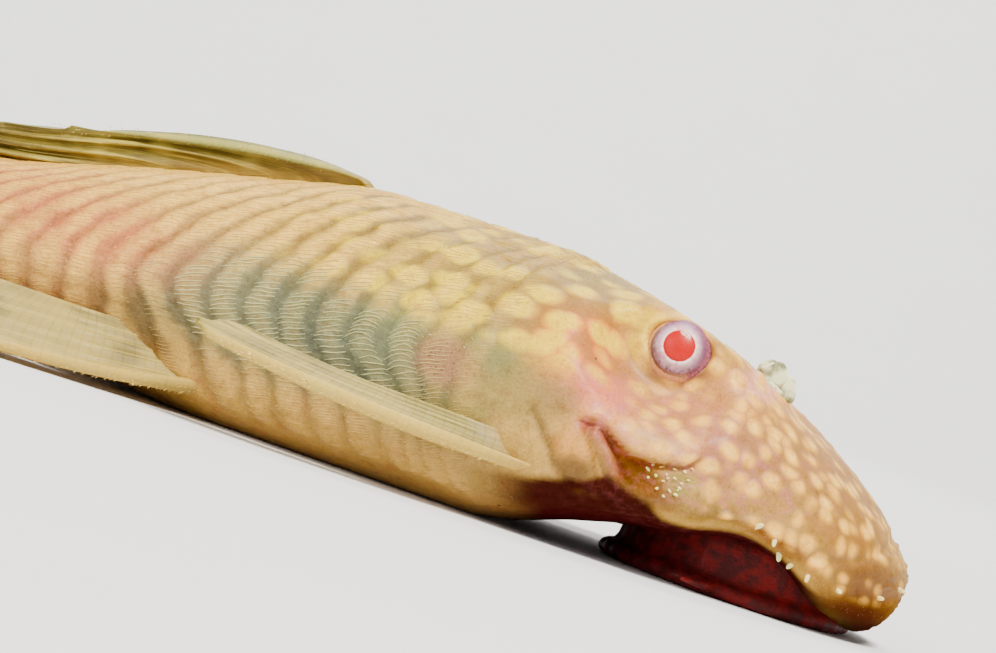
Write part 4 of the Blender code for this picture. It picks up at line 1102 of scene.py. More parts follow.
def combs():
    """The fine raised ridges that run along every plate and end at its rear edge."""
    chance = np.random.default_rng(17)
    starts, angles, lengths = comb_lines(chance)
    middle = starts + lengths / 2
    centre = surface(middle, angles)
    behind, level = SNOUT_X - centre[:, 0], centre[:, 2]
    share = np.linspace(0, 1, COMB_RINGS)
    place = (starts - uneven(centre))[:, None] + lengths[:, None] * share[None]
    off = share[None] - 0.5
    swirl = mound(behind, level, (35.4, 9.0), (2.4, 2.2))
    tilt = 3.0 * wander(centre, 5.0, 9) + 2.5
    wave = 0.22 * np.sin(share[None] * 6.0 + wander(centre, 2.5, 21, 9.0)[:, None])
    bend = off * tilt[:, None] + wave + swirl[:, None] * 1.5 * (off ** 2 * 4 - 0.5)
    degrees = angles[:, None] + bend * np.sign(angles)[:, None]
    root = skin_at(place, degrees)
    normal = facing(skin_at, place, degrees, 0.12, 0.9)
    across = np.cross(normal, unit(np.gradient(root, axis=1)))
    flank = 1 - smooth((oval(behind, level, (41.2, 7.8), (10.8, 4.2)) - 0.6) / 0.5)
    swell = np.sin(np.pi * np.clip(share * 0.90 + 0.05, 0, 1)) ** 0.6
    height = (0.020 + 0.045 * flank)[:, None] * swell[None] * chance.uniform(0.8, 1.2, len(starts))[:, None]
    width = (0.040 + 0.016 * flank)[:, None] * (0.4 + 0.6 * swell[None])
    low, high = root - normal * 0.03, root + normal * height[..., None]
    wide = across * width[..., None]
    rings = np.stack([low + wide, high + wide * 0.4, high - wide * 0.4, low - wide], axis=2)
    base = wash_at(centre, np.abs(angles))
    colours = tinted(base, paint(240, 220, 170), np.full(len(starts), 0.25))
    colours = tinted(colours, base + 0.5 * (paint(222, 220, 204) - base), flank)
    colours = colours * chance.uniform(0.86, 1.04, len(starts))[:, None]
    units = rings.reshape(len(starts), COMB_RINGS * 4, 3)
    piece = joined("plate_combs", units, bar_faces(COMB_RINGS), colours, unwrap(middle, angles))
    piece.data.materials.append(tooth_finish("comb_ridge", 0.40))
    return put(sealed_joined(piece), "body_plates")


def tooth_finish(name, roughness):
    """Small pale horn, tinted like the skin that it stands on."""
    horn = Finish(name)
    where = horn.place()
    grain = horn.noise(where, 3.0, 2.0)
    pale = horn.between(grain, 0.35, 0.7, 0.0, 0.25)
    colour = horn.mix(pale, horn.mark("wash", "Color"), paint(246, 232, 196))
    return horn.done(colour, horn.between(grain, 0.3, 0.7, roughness - 0.06, roughness + 0.08),
                     horn.raised(grain, 0.00001), Coat_Weight=0.1, Coat_Roughness=0.15,
                     Specular_IOR_Level=0.35)


def turned(axis, profile_points, centre, segments):
    """Rows of points turned round an axis through a centre, from (radius, height) pairs."""
    axis = unit(np.asarray(axis))
    guide = np.array([0, 0, 1.0]) if abs(axis[2]) < 0.9 else np.array([1.0, 0, 0])
    first = unit(np.cross(axis, guide))
    second = np.cross(axis, first)
    turn = np.linspace(0, 2 * np.pi, segments + 1)
    ring = np.cos(turn)[:, None] * first + np.sin(turn)[:, None] * second
    return np.stack([centre + axis * high + ring * reach for reach, high in profile_points])


def eyeball(side):
    """The ball with its red pupil, white ring, iris and skin-covered rim."""
    centre, gaze = eye_centre(side), eye_gaze(side)
    up = unit(np.array([0, 0, 1.0]) - gaze[2] * gaze)
    fore = np.cross(gaze, up) * side
    shape = [(0.0, EYE_DOME)]
    for reach in np.linspace(0.05, 1.0, 52):
        shape.append((reach * EYE_RADIUS, EYE_DOME * math.sqrt(max(0.0, 1 - reach ** EYE_ROUND))))
    for angle in np.radians(np.linspace(8, 90, 12)):
        shape.append((EYE_RADIUS * math.cos(angle), -EYE_RADIUS * math.sin(angle)))
    shape[-1] = (0.0, -EYE_RADIUS)
    points = turned(gaze, shape, centre, 88)
    away = points - centre
    out = away @ gaze
    flat = away - out[..., None] * gaze
    dial = np.stack([flat @ fore, flat @ up], -1)
    behind_it = (out < 0) * 3.0
    ring = np.linalg.norm(dial - np.array(PUPIL_SHIFT), axis=-1) + behind_it
    band = np.linalg.norm(dial - np.array(IRIS_SHIFT), axis=-1) + behind_it
    lift = -0.05 * bump_at(ring - PUPIL, 0.06) + 0.03 * bump_at(ring - 1.15, 0.15)
    lift = lift - 0.06 * bump_at(band - IRIS_EDGE, 0.08) + 0.05 * bump_at(band - IRIS_EDGE - 0.25, 0.2)
    points = points + gaze * lift[..., None]
    piece = lofted("eyeball" + word_of(side), points)
    marked(piece, "ring", ring.ravel())
    marked(piece, "band", band.ravel())
    marked(piece, "dial", np.concatenate([dial, np.zeros(out.shape + (1,))], -1).reshape(-1, 3))
    piece.data.materials.clear()
    piece.data.materials.append(eye_finish())
    return put(sealed(piece), "eye", "eye" + word_of(side))


def eye_finish():
    """A flat red pupil in a thin white ring, clouded mauve round it, and a tan rim behind and below."""
    eye = bpy.data.materials.get("albino_eye")
    if eye:
        return eye
    ball = Finish("albino_eye")
    ring, band, dial = ball.mark("ring"), ball.mark("band"), ball.mark("dial", "Vector")
    flecks = ball.noise(dial, 6.0, 4.0, 0.65)
    cloud = ball.noise(dial, 1.8, 4.0, 0.65, 0.8)
    strands = ball.noise(ball.add("VectorMath", 0, (("operation", "NORMALIZE"),), i0=dial), 4.0, 2.0)
    split = ball.tree.nodes.new("ShaderNodeSeparateXYZ")
    ball.feed(split.inputs[0], dial)
    front, high = split.outputs[0], split.outputs[1]
    edge = ball.math("ADD", ring, ball.math("MULTIPLY_ADD", flecks, 0.08, -0.04))
    loose = ball.stirred(edge, cloud, 0.40)
    limit = ball.stirred(band, cloud, 0.16)
    red = ball.mix(ball.between(flecks, 0.35, 0.7), (0.44, 0.003, 0.002), (0.50, 0.006, 0.004))
    white = ball.mix(ball.between(strands, 0.44, 0.70), paint(252, 240, 244), paint(238, 200, 214))
    iris = ball.mix(ball.between(cloud, 0.38, 0.60), paint(164, 122, 150), paint(212, 188, 204))
    iris = ball.mix(ball.between(flecks, 0.5, 0.7, 0.0, 0.6), iris, paint(238, 224, 234))
    iris = ball.mix(ball.between(high, -0.2, 1.4, 0.0, 0.6), iris, paint(202, 158, 190))
    iris = ball.mix(ball.between(front, 0.5, 1.6, 0.0, 0.85), iris, paint(176, 112, 148))
    iris = ball.mix(ball.between(band, 1.35, 1.68, 0.0, 0.6), iris, paint(164, 106, 144))
    mauve = ball.mix(ball.between(flecks, 0.35, 0.65), paint(168, 104, 136), paint(200, 140, 164))
    tan = ball.mix(ball.between(flecks, 0.35, 0.65), paint(214, 182, 160), paint(222, 196, 178))
    forward = ball.math("MULTIPLY_ADD", front, 0.34, 0.50)
    upper = ball.math("MULTIPLY_ADD", high, 0.26, forward, clamp=True)
    rim = ball.mix(ball.between(upper, 0.25, 0.6), tan, mauve)
    backward = ball.math("MULTIPLY_ADD", front, -0.30, 0.22)
    line_share = ball.math("MULTIPLY_ADD", high, -0.20, backward, clamp=True)
    line = ball.mix(line_share, rim, paint(70, 34, 44))
    colour = ball.mix(ball.between(edge, PUPIL - 0.02, PUPIL + 0.04), red, white)
    colour = ball.mix(ball.between(loose, 1.02, 1.20, 0.0, 0.5), colour, iris)
    colour = ball.mix(ball.between(loose, 1.15, 1.50), colour, iris)
    colour = ball.mix(ball.between(limit, IRIS_EDGE - 0.14, IRIS_EDGE - 0.04), colour, line)
    colour = ball.mix(ball.between(limit, IRIS_EDGE - 0.02, IRIS_EDGE + 0.08), colour, rim)
    normal = ball.raised(flecks, 0.00002, None, 0.5)
    return ball.done(colour, ball.between(flecks, 0.3, 0.7, 0.34, 0.46), normal, Coat_Weight=0.04,
                     Coat_Roughness=0.08, Specular_IOR_Level=0.18)


def iris_lobe(side):
    """The pale lobe that hangs over the upper edge of the pupil, with a smaller one before it."""
    centre, gaze = eye_centre(side), eye_gaze(side)
    up = unit(np.array([0, 0, 1.0]) - gaze[2] * gaze)
    fore = np.cross(gaze, up) * side
    pieces = []
    for shift_up, shift_fore, size in ((0.80, -0.02, 0.29), (0.66, 0.22, 0.24)):
        flat = math.hypot(shift_up, shift_fore) / EYE_RADIUS
        out = EYE_DOME * math.sqrt(1 - flat ** EYE_ROUND) - 0.08
        root = centre + gaze * out + up * shift_up + fore * shift_fore
        shape = [(0.0, 0.50), (0.42, 0.45), (0.78, 0.28), (1.0, 0.0), (0.9, -0.35), (0.0, -0.5)]
        points = turned(gaze, [(reach * size, high * size) for reach, high in shape], root, 16)
        pieces.append(sealed(lofted("lobe", points)))
    pale, rosy = paint(252, 236, 238), paint(244, 206, 206)
    return gathered("iris_lobe" + word_of(side), pieces,
                    flesh_finish("iris_lobe", pale, rosy, 0.25, 0.00003, 4.0), "eye")


def flesh_finish(name, first, second, roughness, bump=0.00003, scale=1.2, gloss=0.3):
    """Soft wet flesh of two mottled colours."""
    made = bpy.data.materials.get(name)
    if made:
        return made
    flesh = Finish(name)
    where = flesh.place()
    mottle = flesh.noise(where, scale, 4.0, 0.6)
    grain = flesh.noise(where, 6.0, 3.0, 0.6)
    colour = flesh.mix(flesh.between(mottle, 0.38, 0.64), first, second)
    colour = flesh.mix(flesh.between(grain, 0.5, 0.75, 0.0, 0.25), colour, second)
    return flesh.done(colour, flesh.between(grain, 0.3, 0.7, roughness, roughness + 0.15),
                      flesh.raised(grain, bump), Coat_Weight=gloss, Coat_Roughness=0.12,
                      Subsurface_Weight=0.25, Subsurface_Radius=(1.0, 0.4, 0.25), Subsurface_Scale=0.0008,
                      Specular_IOR_Level=0.1 + gloss)


def tube(name, line, radii, sides):
    """Rows of points round a line, with both ends pinched."""
    line = np.asarray(line, float)
    ahead = unit(np.gradient(line, axis=0))
    first = unit(np.cross(ahead, np.array([0.1, 0.2, 1.0])))
    second = np.cross(ahead, first)
    turn = np.linspace(0, 2 * np.pi, sides + 1)
    rings = [point + (np.cos(turn)[:, None] * a + np.sin(turn)[:, None] * b) * radius
             for point, radius, a, b in zip(line, radii, first, second)]
    start, end = line[:1], line[-1:] + ahead[-1:] * radii[-1] * 0.6
    rings = [np.repeat(start, sides + 1, axis=0)] + rings + [np.repeat(end, sides + 1, axis=0)]
    return lofted(name, np.stack(rings))


def nostril_lobe(centre, along, rise, outward, sizes, cup, seed):
    """Rows of points over one thick rounded lobe, cupped outwards."""
    turn = np.linspace(0, 2 * np.pi, 45)
    rows = []
    for polar in np.linspace(0, np.pi, 27):
        across, up = np.sin(polar) * np.cos(turn), np.cos(polar) + 0 * turn
        flat = np.hypot(across, up)
        swell = 1 + 0.08 * np.sin(3 * np.arctan2(up, across) + seed)
        depth = sizes[2] * np.sin(polar) * np.sin(turn) + cup * (flat ** 2 - 0.5)
        rows.append(centre + along * (sizes[0] * across * swell)[:, None] + outward * depth[:, None]
                    + rise * (sizes[1] * up * swell)[:, None])
    points = np.stack(rows)
    return points + wander(points, 1.6, seed, 0.10)[..., None] * (rise + along)


def side_point(behind, height, side):
    """The angle at which the skin's side is at a height, and the skin's point and normal there."""
    low, high = 20.0, 175.0
    for _ in range(30):
        middle = (low + high) / 2
        if section(np.array(behind), np.array(middle))[2] > height:
            low = middle
        else:
            high = middle
    degrees = np.array(low if side < 0 else 360 - low)
    place = np.array(float(behind))
    return skin_at(place, degrees), facing(skin_at, place, degrees, 0.15, 1.5)


# Bristles on the snout's rim, as (behind, height)
BRISTLE_PLACES = ((10.9, 4.8), (9.6, 4.25), (9.05, 3.6), (7.95, 3.5), (6.85, 3.4), (4.9, 3.1), (2.1, 3.25),
                  (0.9, 4.1))


def bristles(side):
    """The short blunt feelers of a female, in a row along the snout's rim."""
    chance = np.random.default_rng(5 + side)
    pieces = []
    for behind, height in BRISTLE_PLACES:
        root, normal = side_point(behind, height, side)
        length = 0.42 * chance.uniform(0.8, 1.3)
        lean = unit(normal + np.array([0.1, 0, -0.2]) + chance.normal(size=3) * 0.2)
        share = (1 - np.cos(np.linspace(0.2, 1, 13) * math.pi / 2)[:, None] / math.cos(0.1 * math.pi))
        line = root - normal * 0.25 + lean * (length + 0.25) * share
        line[:, 2] = np.maximum(line[:, 2], 0.3)
        radii = chance.uniform(0.14, 0.19) * np.sqrt(np.clip(1.01 - share[:, 0] ** 4, 0.02, 1))
        pieces.append(sealed(tube("bristle", line, radii, 12)))
    flesh = flesh_finish("bristle_flesh", paint(252, 246, 226), paint(244, 226, 190), 0.2)
    return gathered("bristles" + word_of(side), pieces, flesh, "head_skin")


def gathered(name, pieces, finish, slot, *nodes):
    """Joins pieces into one, and gives it its finish."""
    bpy.ops.object.select_all(action="DESELECT")
    for piece in pieces:
        piece.select_set(True)
    bpy.context.view_layer.objects.active = pieces[0]
    if len(pieces) > 1:
        bpy.ops.object.join()
    whole = bpy.context.view_layer.objects.active
    whole.name = whole.data.name = name
    whole.data.materials.clear()
    whole.data.materials.append(finish)
    return put(whole, slot, *nodes)


# Hooked spines under the cheek plate, as (behind, height)
CHEEK_SPINES = ((18.2, 6.4), (18.0, 6.8), (17.0, 6.4), (16.7, 6.8), (16.9, 5.9), (16.0, 6.2), (16.1, 5.7),
                (15.9, 5.9), (15.7, 7.2), (16.7, 4.9), (17.6, 6.1), (17.5, 6.9), (16.4, 6.5), (16.5, 5.6),
                (17.3, 5.6), (16.2, 6.9), (17.9, 5.8), (15.6, 6.3), (16.8, 6.2), (17.3, 6.8), (16.0, 5.2))


def cheek_hooks(side):
    """The small blunt spines that stand in a cluster under the cheek plate's front end."""
    chance = np.random.default_rng(41 + side)
    share = np.linspace(0, 1, 7)[:, None]
    pieces = []
    for behind, height in CHEEK_SPINES:
        root, normal = side_point(behind + chance.normal() * 0.1, height + chance.normal() * 0.1, side)
        length = chance.uniform(0.08, 0.26)
        way = unit(np.array([-1.0, 0, chance.normal() * 0.7]))
        line = root - normal * 0.15 + normal * (0.24 * np.sin(share * 1.9)) + way * length * share
        radii = chance.uniform(0.07, 0.125) * (1 - 0.5 * share[:, 0] ** 1.5)
        pieces.append(sealed(tube("hook", line, radii, 8)))
    horn = flesh_finish("cheek_spine", paint(252, 246, 220), paint(240, 222, 176), 0.25)
    return gathered("cheek_spines" + word_of(side), pieces, horn, "head_skin")


def nostril_flap(side):
    """The flap round the outer edge of a nostril: a low collar and two thick rounded lobes."""
    place, normal = nostril_centre(side)
    out = unit(np.cross(normal, np.array([-1.0, 0, 0]))) * -side
    back = np.cross(normal, out) * side
    degrees = np.linspace(-110, 110, 61)
    turn = np.radians(degrees)
    aim = np.cos(turn)[:, None] * out + np.sin(turn)[:, None] * back
    rows = []
    for level in np.sin(np.linspace(0, 1, 14) * math.pi / 2):
        spread = NOSTRIL_RADIUS * (0.92 + 0.12 * level)
        thick = 0.22 * math.sqrt(max(0.0, 1 - level ** 4)) * (1 - 0.8 * np.abs(degrees / 110) ** 8)
        base = place + normal * (-0.50 + 0.85 * level)
        outer = base + aim * (spread + thick)[:, None]
        inner = base + aim * (spread - thick)[:, None]
        rows.append(np.concatenate([outer, inner[::-1], outer[:1]]))
    rows.insert(0, np.repeat(rows[0].mean(axis=0, keepdims=True), len(rows[0]), axis=0))
    parts = [sealed(lofted("collar", np.stack(rows)))]
    outward = np.array([0, side * 1.0, 0])
    for centre, rise, sizes, cup, seed in FLAP_LOBES:
        centre, rise = place + np.array(centre) * (1, side, 1), unit(np.array(rise))
        along = unit(np.cross(rise, outward) * side)
        parts.append(sealed(lofted("lobe", nostril_lobe(centre, along, rise, outward, sizes, cup, seed))))
    return gathered("nostril_flap" + word_of(side), parts, nostril_finish(), "head_skin")


def nostril_finish():
    """Thin greyish flesh, whiter in places: the grey and white clouds stand in for the flap's painted shade
    and painted highlights, spread at random.
    """
    made = bpy.data.materials.get("nostril_flesh")
    if made:
        return made
    flap = Finish("nostril_flesh")
    where = flap.place()
    cloud = flap.noise(where, 0.9, 2.0, 0.5)
    grain = flap.noise(where, 4.0, 2.0, 0.5)
    # Painted shade and painted highlights, scattered by a noise
    colour = flap.mix(flap.between(cloud, 0.38, 0.60), paint(168, 166, 138), paint(232, 230, 222))
    colour = flap.mix(flap.between(grain, 0.45, 0.75, 0.0, 0.25), colour, paint(240, 236, 228))
    return flap.done(colour, flap.between(grain, 0.3, 0.7, 0.30, 0.42), flap.raised(grain, 0.00001),
                     Coat_Weight=0.2, Coat_Roughness=0.10, Subsurface_Weight=0.45,
                     Subsurface_Radius=(1.0, 0.9, 0.8), Subsurface_Scale=0.0006)


def disc_ring(share, height):
    """Points round the lips: share 0 is the mouth's edge and 1 the rim."""
    turn = np.linspace(0, 2 * np.pi, LIP_COLUMNS + 1)
    mouth = np.stack([SNOUT_X - MOUTH_BEHIND + MOUTH_HALF_LENGTH * np.cos(turn),
                      MOUTH_HALF_WIDTH * np.sin(turn), np.zeros_like(turn)], -1)
    scallop = 1 + 0.012 * np.cos(10 * turn) + 0.006 * np.cos(37 * turn + 1)
    rim = np.stack([SNOUT_X - DISC_CENTRE + DISC_HALF_LENGTH * np.cos(turn) * scallop,
                    DISC_HALF_WIDTH * np.sin(turn) * scallop, np.zeros_like(turn)], -1)
    ring = mouth + (rim - mouth) * share
    ring[:, 2] += height
    return ring


def lips():
    """The round sucking lips: a soft flared rim, small papillae below and the hollow of the mouth."""
    mouth = ((-0.6, MOUTH_CEILING), (-0.3, MOUTH_CEILING), (-0.12, 1.25), (-0.05, 0.95), (0.0, 0.45),
             (0.06, 0.22), (0.14, 0.10))
    rim = ((0.97, 0.12), (0.995, 0.3), (1.0, 0.5), (0.995, 0.72), (0.98, DISC_FLARE * 0.8),
           (0.95, DISC_FLARE * 0.95), (0.91, DISC_FLARE * 1.05), (0.89, 1.5), (DISC_NECK, 2.1),
           (DISC_NECK, 3.2), (0.84, DISC_TOP), (0.4, DISC_TOP))
    rows = [disc_ring(share, height) for share, height in mouth]
    wave = np.sin(np.linspace(0, 2 * np.pi, LIP_COLUMNS + 1) * 60)
    chance = np.random.default_rng(3)
    for i, share in enumerate(np.linspace(0.2, 0.93, 30)):
        ring = disc_ring(share, 0.0)
        grain = 0.10 * (1 + wave * (-1) ** i) * (i % 3 != 0)
        grain[-1] = grain[0]
        ring[:, 2] += 0.02 + grain * chance.uniform(0.7, 1.0)
        rows.append(ring)
    rows += [disc_ring(share, height) for share, height in rim]
    for end in (0, -1):
        rows[end] = np.repeat(rows[end][:-1].mean(axis=0, keepdims=True), len(rows[end]), axis=0)
    parts = [sealed(lofted("lip_disc", np.stack(rows)))]
    for side in (-1, 1):
        root = np.array([SNOUT_X - DISC_CENTRE - 1.0, side * (DISC_HALF_WIDTH - 0.8), 0.6])
        away = unit(np.array([-0.6, side, 0.05]))
        share = np.linspace(0, 1, 12)[:, None]
        line = root + away * 3.0 * share + np.array([-0.7, 0, -0.1]) * share ** 2
        parts.append(sealed(tube("barbel", line, 0.46 * (1 - 0.72 * share[:, 0]), 12)))
    # The lips' own red-brown, darkened with painted shade
    flesh = flesh_finish("lip_flesh", paint(112, 28, 8), paint(158, 56, 20), 0.5, bump=0.00006, gloss=0.06)
    return gathered("lips", parts, flesh, "lips", "mouth_disc")


def teeth():
    """Two rows of fine curved teeth inside the mouth, upper and lower on each side."""
    share = np.linspace(0, 1, 6)
    ahead, beside = np.array([0.04, 0, 0]), np.array([0, 0.04, 0])
    units = []
    for side in (-1, 1):
        for jaw, sign in ((-1, 1), (1, -1)):
            for i in range(26):
                x = SNOUT_X - MOUTH_BEHIND + jaw * 1.15
                root = np.array([x, side * (0.45 + 0.11 * i), 1.15])
                line = [root + np.array([sign * 0.25 * t * t, 0, -0.62 * t]) for t in share]
                rings = [point + np.array([ahead * (1 - 0.5 * t), beside, -ahead * (1 - 0.5 * t), -beside])
                         for point, t in zip(line, share)]
                units.append(np.concatenate(rings))
    colours = np.tile(paint(226, 176, 96), (len(units), 1))
    piece = joined("teeth", np.stack(units), bar_faces(len(share)), colours)
    piece.data.materials.append(tooth_finish("tooth_horn", 0.3))
    return put(sealed_joined(piece), "lips")


# Fins, as in the solids
DORSAL_START = 39.0
DORSAL_SUNK = 0.75
DORSAL_PITCH = 2.9
DORSAL_LENGTHS = (24.0, 25.0, 24.5, 23.0, 21.0, 18.5, 15.5, 12.5)
DORSAL_TOP = 2.55
DORSAL_STACK = 0.28
DORSAL_RISE = 5.5
DORSAL_PLEAT = 0.22
ANAL_START = 63.8
ANAL_PITCH = 0.9
ANAL_LENGTHS = (8.5, 9.5, 9.5, 8.5, 7.0)
ANAL_DROP = 1.15
ANAL_STACK = 0.17
ANAL_RISE = 1.6
CAUDAL_RAYS = 14
CAUDAL_ROOT_LOW = 2.0
CAUDAL_ROOT_HIGH = 9.1
CAUDAL_LOW_DEGREES = -1.5
CAUDAL_HIGH_DEGREES = 20.0
CAUDAL_LOW_LENGTH = 27.0
CAUDAL_MIDDLE_LENGTH = 22.5
CAUDAL_HIGH_LENGTH = 25.0
CAUDAL_PLEAT = 0.2
ADIPOSE_SPINE = (75.0, 80.2, 0.8, 3.0)
ADIPOSE_SAIL = (77.6, 81.6, 0.9, 0.8)
# Each paired fin's roots, middles and tips, as (behind, out, height) of its first and last ray, then how many
# rays it has, how far its hind edge bulges and how thick its spine is
PAIRED_FINS = {
    "pectoral": (((23.9, 13.7, 4.0), (25.1, 13.9, 5.7)), ((34.5, 16.3, 4.35), (35.5, 14.4, 5.75)),
                 ((46.0, 15.0, 5.5), (44.0, 12.6, 6.5)), 7, 1.6, 0.72),
    "pelvic": (((43.6, 8.6, 2.3), (46.8, 7.4, 3.9)), ((52.6, 12.6, 0.95), (54.0, 9.6, 4.2)),
               ((64.0, 16.8, 0.7), (61.6, 9.2, 4.0)), 6, 2.2, 0.65),
}
ROOT_DEPTH = 1.4
# Shares of a ray's length where it branches, and where each branch of a finely divided one forks again
BRANCH_FROM = 0.35
BRANCH_BLEND = 0.25
BRANCH_SPREAD = 0.20
FORK_FROM = 0.72
FORK_BLEND = 0.2
FORK_SPREAD = 0.085
# How wide and thick rays and spines are, and how much they lose towards their tips
SPINE_HALF_WIDTH = 0.55
RAY_HALF_WIDTH = 0.22
NARROWING = 0.35
THINNING = 0.45
RAY_GROWN = 0.28
SPINE_RIM = 0.42
RAY_RIM = 0.12
LEAST_GAP = 0.05
FIN_CLEARANCE = 0.03


def on_axis(behind, height, y=0.0):
    """Points beside the line that the body and the tail follow."""
    return np.stack([SNOUT_X - behind, sway(behind) + y, height + 0 * behind], -1)


def dorsal_ray(i, t):
    """Points along a ray of the folded dorsal fin, from its root at 0 to its tip at 1."""
    gone = DORSAL_LENGTHS[i] * t
    behind = DORSAL_START + DORSAL_PITCH * i + gone
    high = (DORSAL_TOP - DORSAL_STACK * i) * (1 - np.exp(-gone / DORSAL_RISE))
    pleat = DORSAL_PLEAT * (1 if i % 2 else -1) * np.sin(np.pi * np.minimum(1.0, t * 1.2))
    sunk = DORSAL_SUNK * (1 - smooth(t * 14))
    return on_axis(behind, profile(BACK, behind) + high - sunk, pleat)


def anal_ray(i, t):
    """Points along a ray of the folded anal fin."""
    gone = ANAL_LENGTHS[i] * t
    behind = ANAL_START + ANAL_PITCH * i + gone
    low = (ANAL_DROP - ANAL_STACK * i) * (1 - np.exp(-gone / ANAL_RISE))
    return on_axis(behind, profile(BELLY, behind) - low + ROOT_DEPTH * (1 - smooth(t * 5)))


def caudal_ray(i, t):
    """Points along a ray of the tail fin, which is longest at its upper and lower edges."""
    share = i / (CAUDAL_RAYS - 1)
    height = CAUDAL_ROOT_LOW + (CAUDAL_ROOT_HIGH - CAUDAL_ROOT_LOW) * share
    aim = math.radians(CAUDAL_LOW_DEGREES + (CAUDAL_HIGH_DEGREES - CAUDAL_LOW_DEGREES) * share)
    outer = CAUDAL_LOW_LENGTH + (CAUDAL_HIGH_LENGTH - CAUDAL_LOW_LENGTH) * share
    length = CAUDAL_MIDDLE_LENGTH + (outer - CAUDAL_MIDDLE_LENGTH) * abs(2 * share - 1) ** 1.6
    gone = (length + ROOT_DEPTH) * t - ROOT_DEPTH
    behind = STANDARD_LENGTH + gone * math.cos(aim)
    return on_axis(behind, height + gone * math.sin(aim), CAUDAL_PLEAT * (1 if i % 2 else -1) * t)


def bent(root, middle, tip, t):
    """Points along a smooth curve through three points."""
    handle = middle * 2 - (root + tip) * 0.5
    t = t[:, None]
    return root * (1 - t) ** 2 + handle * (2 * t * (1 - t)) + tip * t * t


def paired_ray(roots, middles, tips, count, bulge, side):
    """The curve of each ray of a paired fin on one side."""
    def ray(i, t):
        share = i / (count - 1)
        ends = []
        for first, last in (roots, middles, tips):
            behind, out, height = (a + (b - a) * share for a, b in zip(first, last))
            ends.append(np.array([SNOUT_X - behind, side * out + float(sway(behind)), height]))
        ends[0][1] -= side * 0.4
        ends[2][0] -= bulge * math.sin(math.pi * share)
        ends[2][2] += 0.15 * (i % 2)
        return bent(*ends, t)
    return ray


def adipose_ray(i, t):
    """Points along the adipose fin's spine, then along the edge of the sail behind it."""
    root_behind, tip_behind, depth, rise = (ADIPOSE_SPINE, ADIPOSE_SAIL)[i]
    root = on_axis(np.array(root_behind), profile(BACK, np.array(root_behind)) - depth)
    tip = on_axis(np.array(tip_behind), profile(BACK, np.array(tip_behind)) + rise)
    return bent(root, (root + tip) * 0.5 + np.array([0, 0, 0.1 * rise]), tip, t)


def fin(name, ray, rays, rows, per_gap, finish, node, membrane=0.12, crest=0.26, spine=0.62, spines=(0,),
        branches=2):
    """A closed sheet through a fan of rays, each branching towards the tip, with stout spines at its edge."""
    t = np.linspace(0, 1, rows)
    lines = np.stack([ray(i, t) for i in range(rays)], axis=1)
    at = np.linspace(0, rays - 1, (rays - 1) * per_gap + 1)
    i = np.clip(at.astype(int), 0, rays - 2)
    f = at - i
    f = (f - 0.10 * np.sin(2 * np.pi * f))[None, :, None]
    sheet = lines[:, i] * (1 - f) + lines[:, i + 1] * f
    normal = unit(np.cross(np.gradient(sheet, axis=1), np.gradient(sheet, axis=0)))
    gap = np.maximum(np.linalg.norm(lines[:, i + 1] - lines[:, i], axis=-1), LEAST_GAP)
    stout = np.isin(np.round(at).astype(int), spines)
    opening = smooth((t - BRANCH_FROM) / BRANCH_BLEND)[:, None] * ~stout[None]
    signed = (at - np.round(at))[None] * np.ones_like(gap)
    nearest = np.abs(np.abs(signed) - BRANCH_SPREAD * opening)
    if branches > 2:
        forking = smooth((t - FORK_FROM) / FORK_BLEND)[:, None]
        nearest = np.abs(nearest - FORK_SPREAD * forking * ~stout[None])
    half = np.where(stout[None], SPINE_HALF_WIDTH, RAY_HALF_WIDTH * (1 - NARROWING * opening))
    half = half * (1 - NARROWING * t)[:, None]
    form = np.sqrt(np.clip(1 - (nearest * gap / half) ** 2, 0, 1))
    soft = smooth(form)
    taper = (1 - THINNING * t)[:, None]
    grown = smooth(t / RAY_GROWN)[:, None]
    high = np.where(stout[None], spine, crest * (1 - 0.3 * opening) * grown) * taper
    level = membrane * taper + np.maximum(high - membrane * taper, 0) * np.where(stout[None], form, soft)
    level = level * np.minimum(1, (1 - t[:, None]) / 0.01)
    rim = np.where(np.isin([0, rays - 1], spines)[None], SPINE_RIM, RAY_RIM) * taper
    first_edge = sheet[:, :1] + (unit(sheet[:, 0] - sheet[:, 1]) * rim[:, :1])[:, None]
    last_edge = sheet[:, -1:] + (unit(sheet[:, -1] - sheet[:, -2]) * rim[:, 1:])[:, None]
    shift = normal * level[..., None]
    upper, lower = sheet + shift, (sheet - shift)[:, ::-1]
    points = np.concatenate([first_edge, upper, last_edge, lower, first_edge], axis=1)
    points[..., 2] = np.maximum(points[..., 2], FIN_CLEARANCE)
    points[0] = points[0].mean(axis=0)
    piece = lofted(name, points)
    columns = points.shape[1]

    def there_and_back(values):
        return np.concatenate([values[:, :1], values, values[:, -1:], values[:, ::-1], values[:, :1]],
                              axis=1).ravel()

    marked(piece, "ridge", there_and_back(form * grown))
    marked(piece, "ray", there_and_back(at[None] * np.ones((rows, 1))))
    steps = np.linalg.norm(np.diff(lines[:, rays // 2], axis=0), axis=-1)
    run = np.concatenate([[0], np.cumsum(steps)])
    marked(piece, "reach", np.repeat(run[:, None], columns, axis=1).ravel())
    marked(piece, "share", np.repeat(t[:, None], columns, axis=1).ravel())
    piece.data.materials.clear()
    piece.data.materials.append(finish)
    return put(sealed(piece), "fin_rays", node)


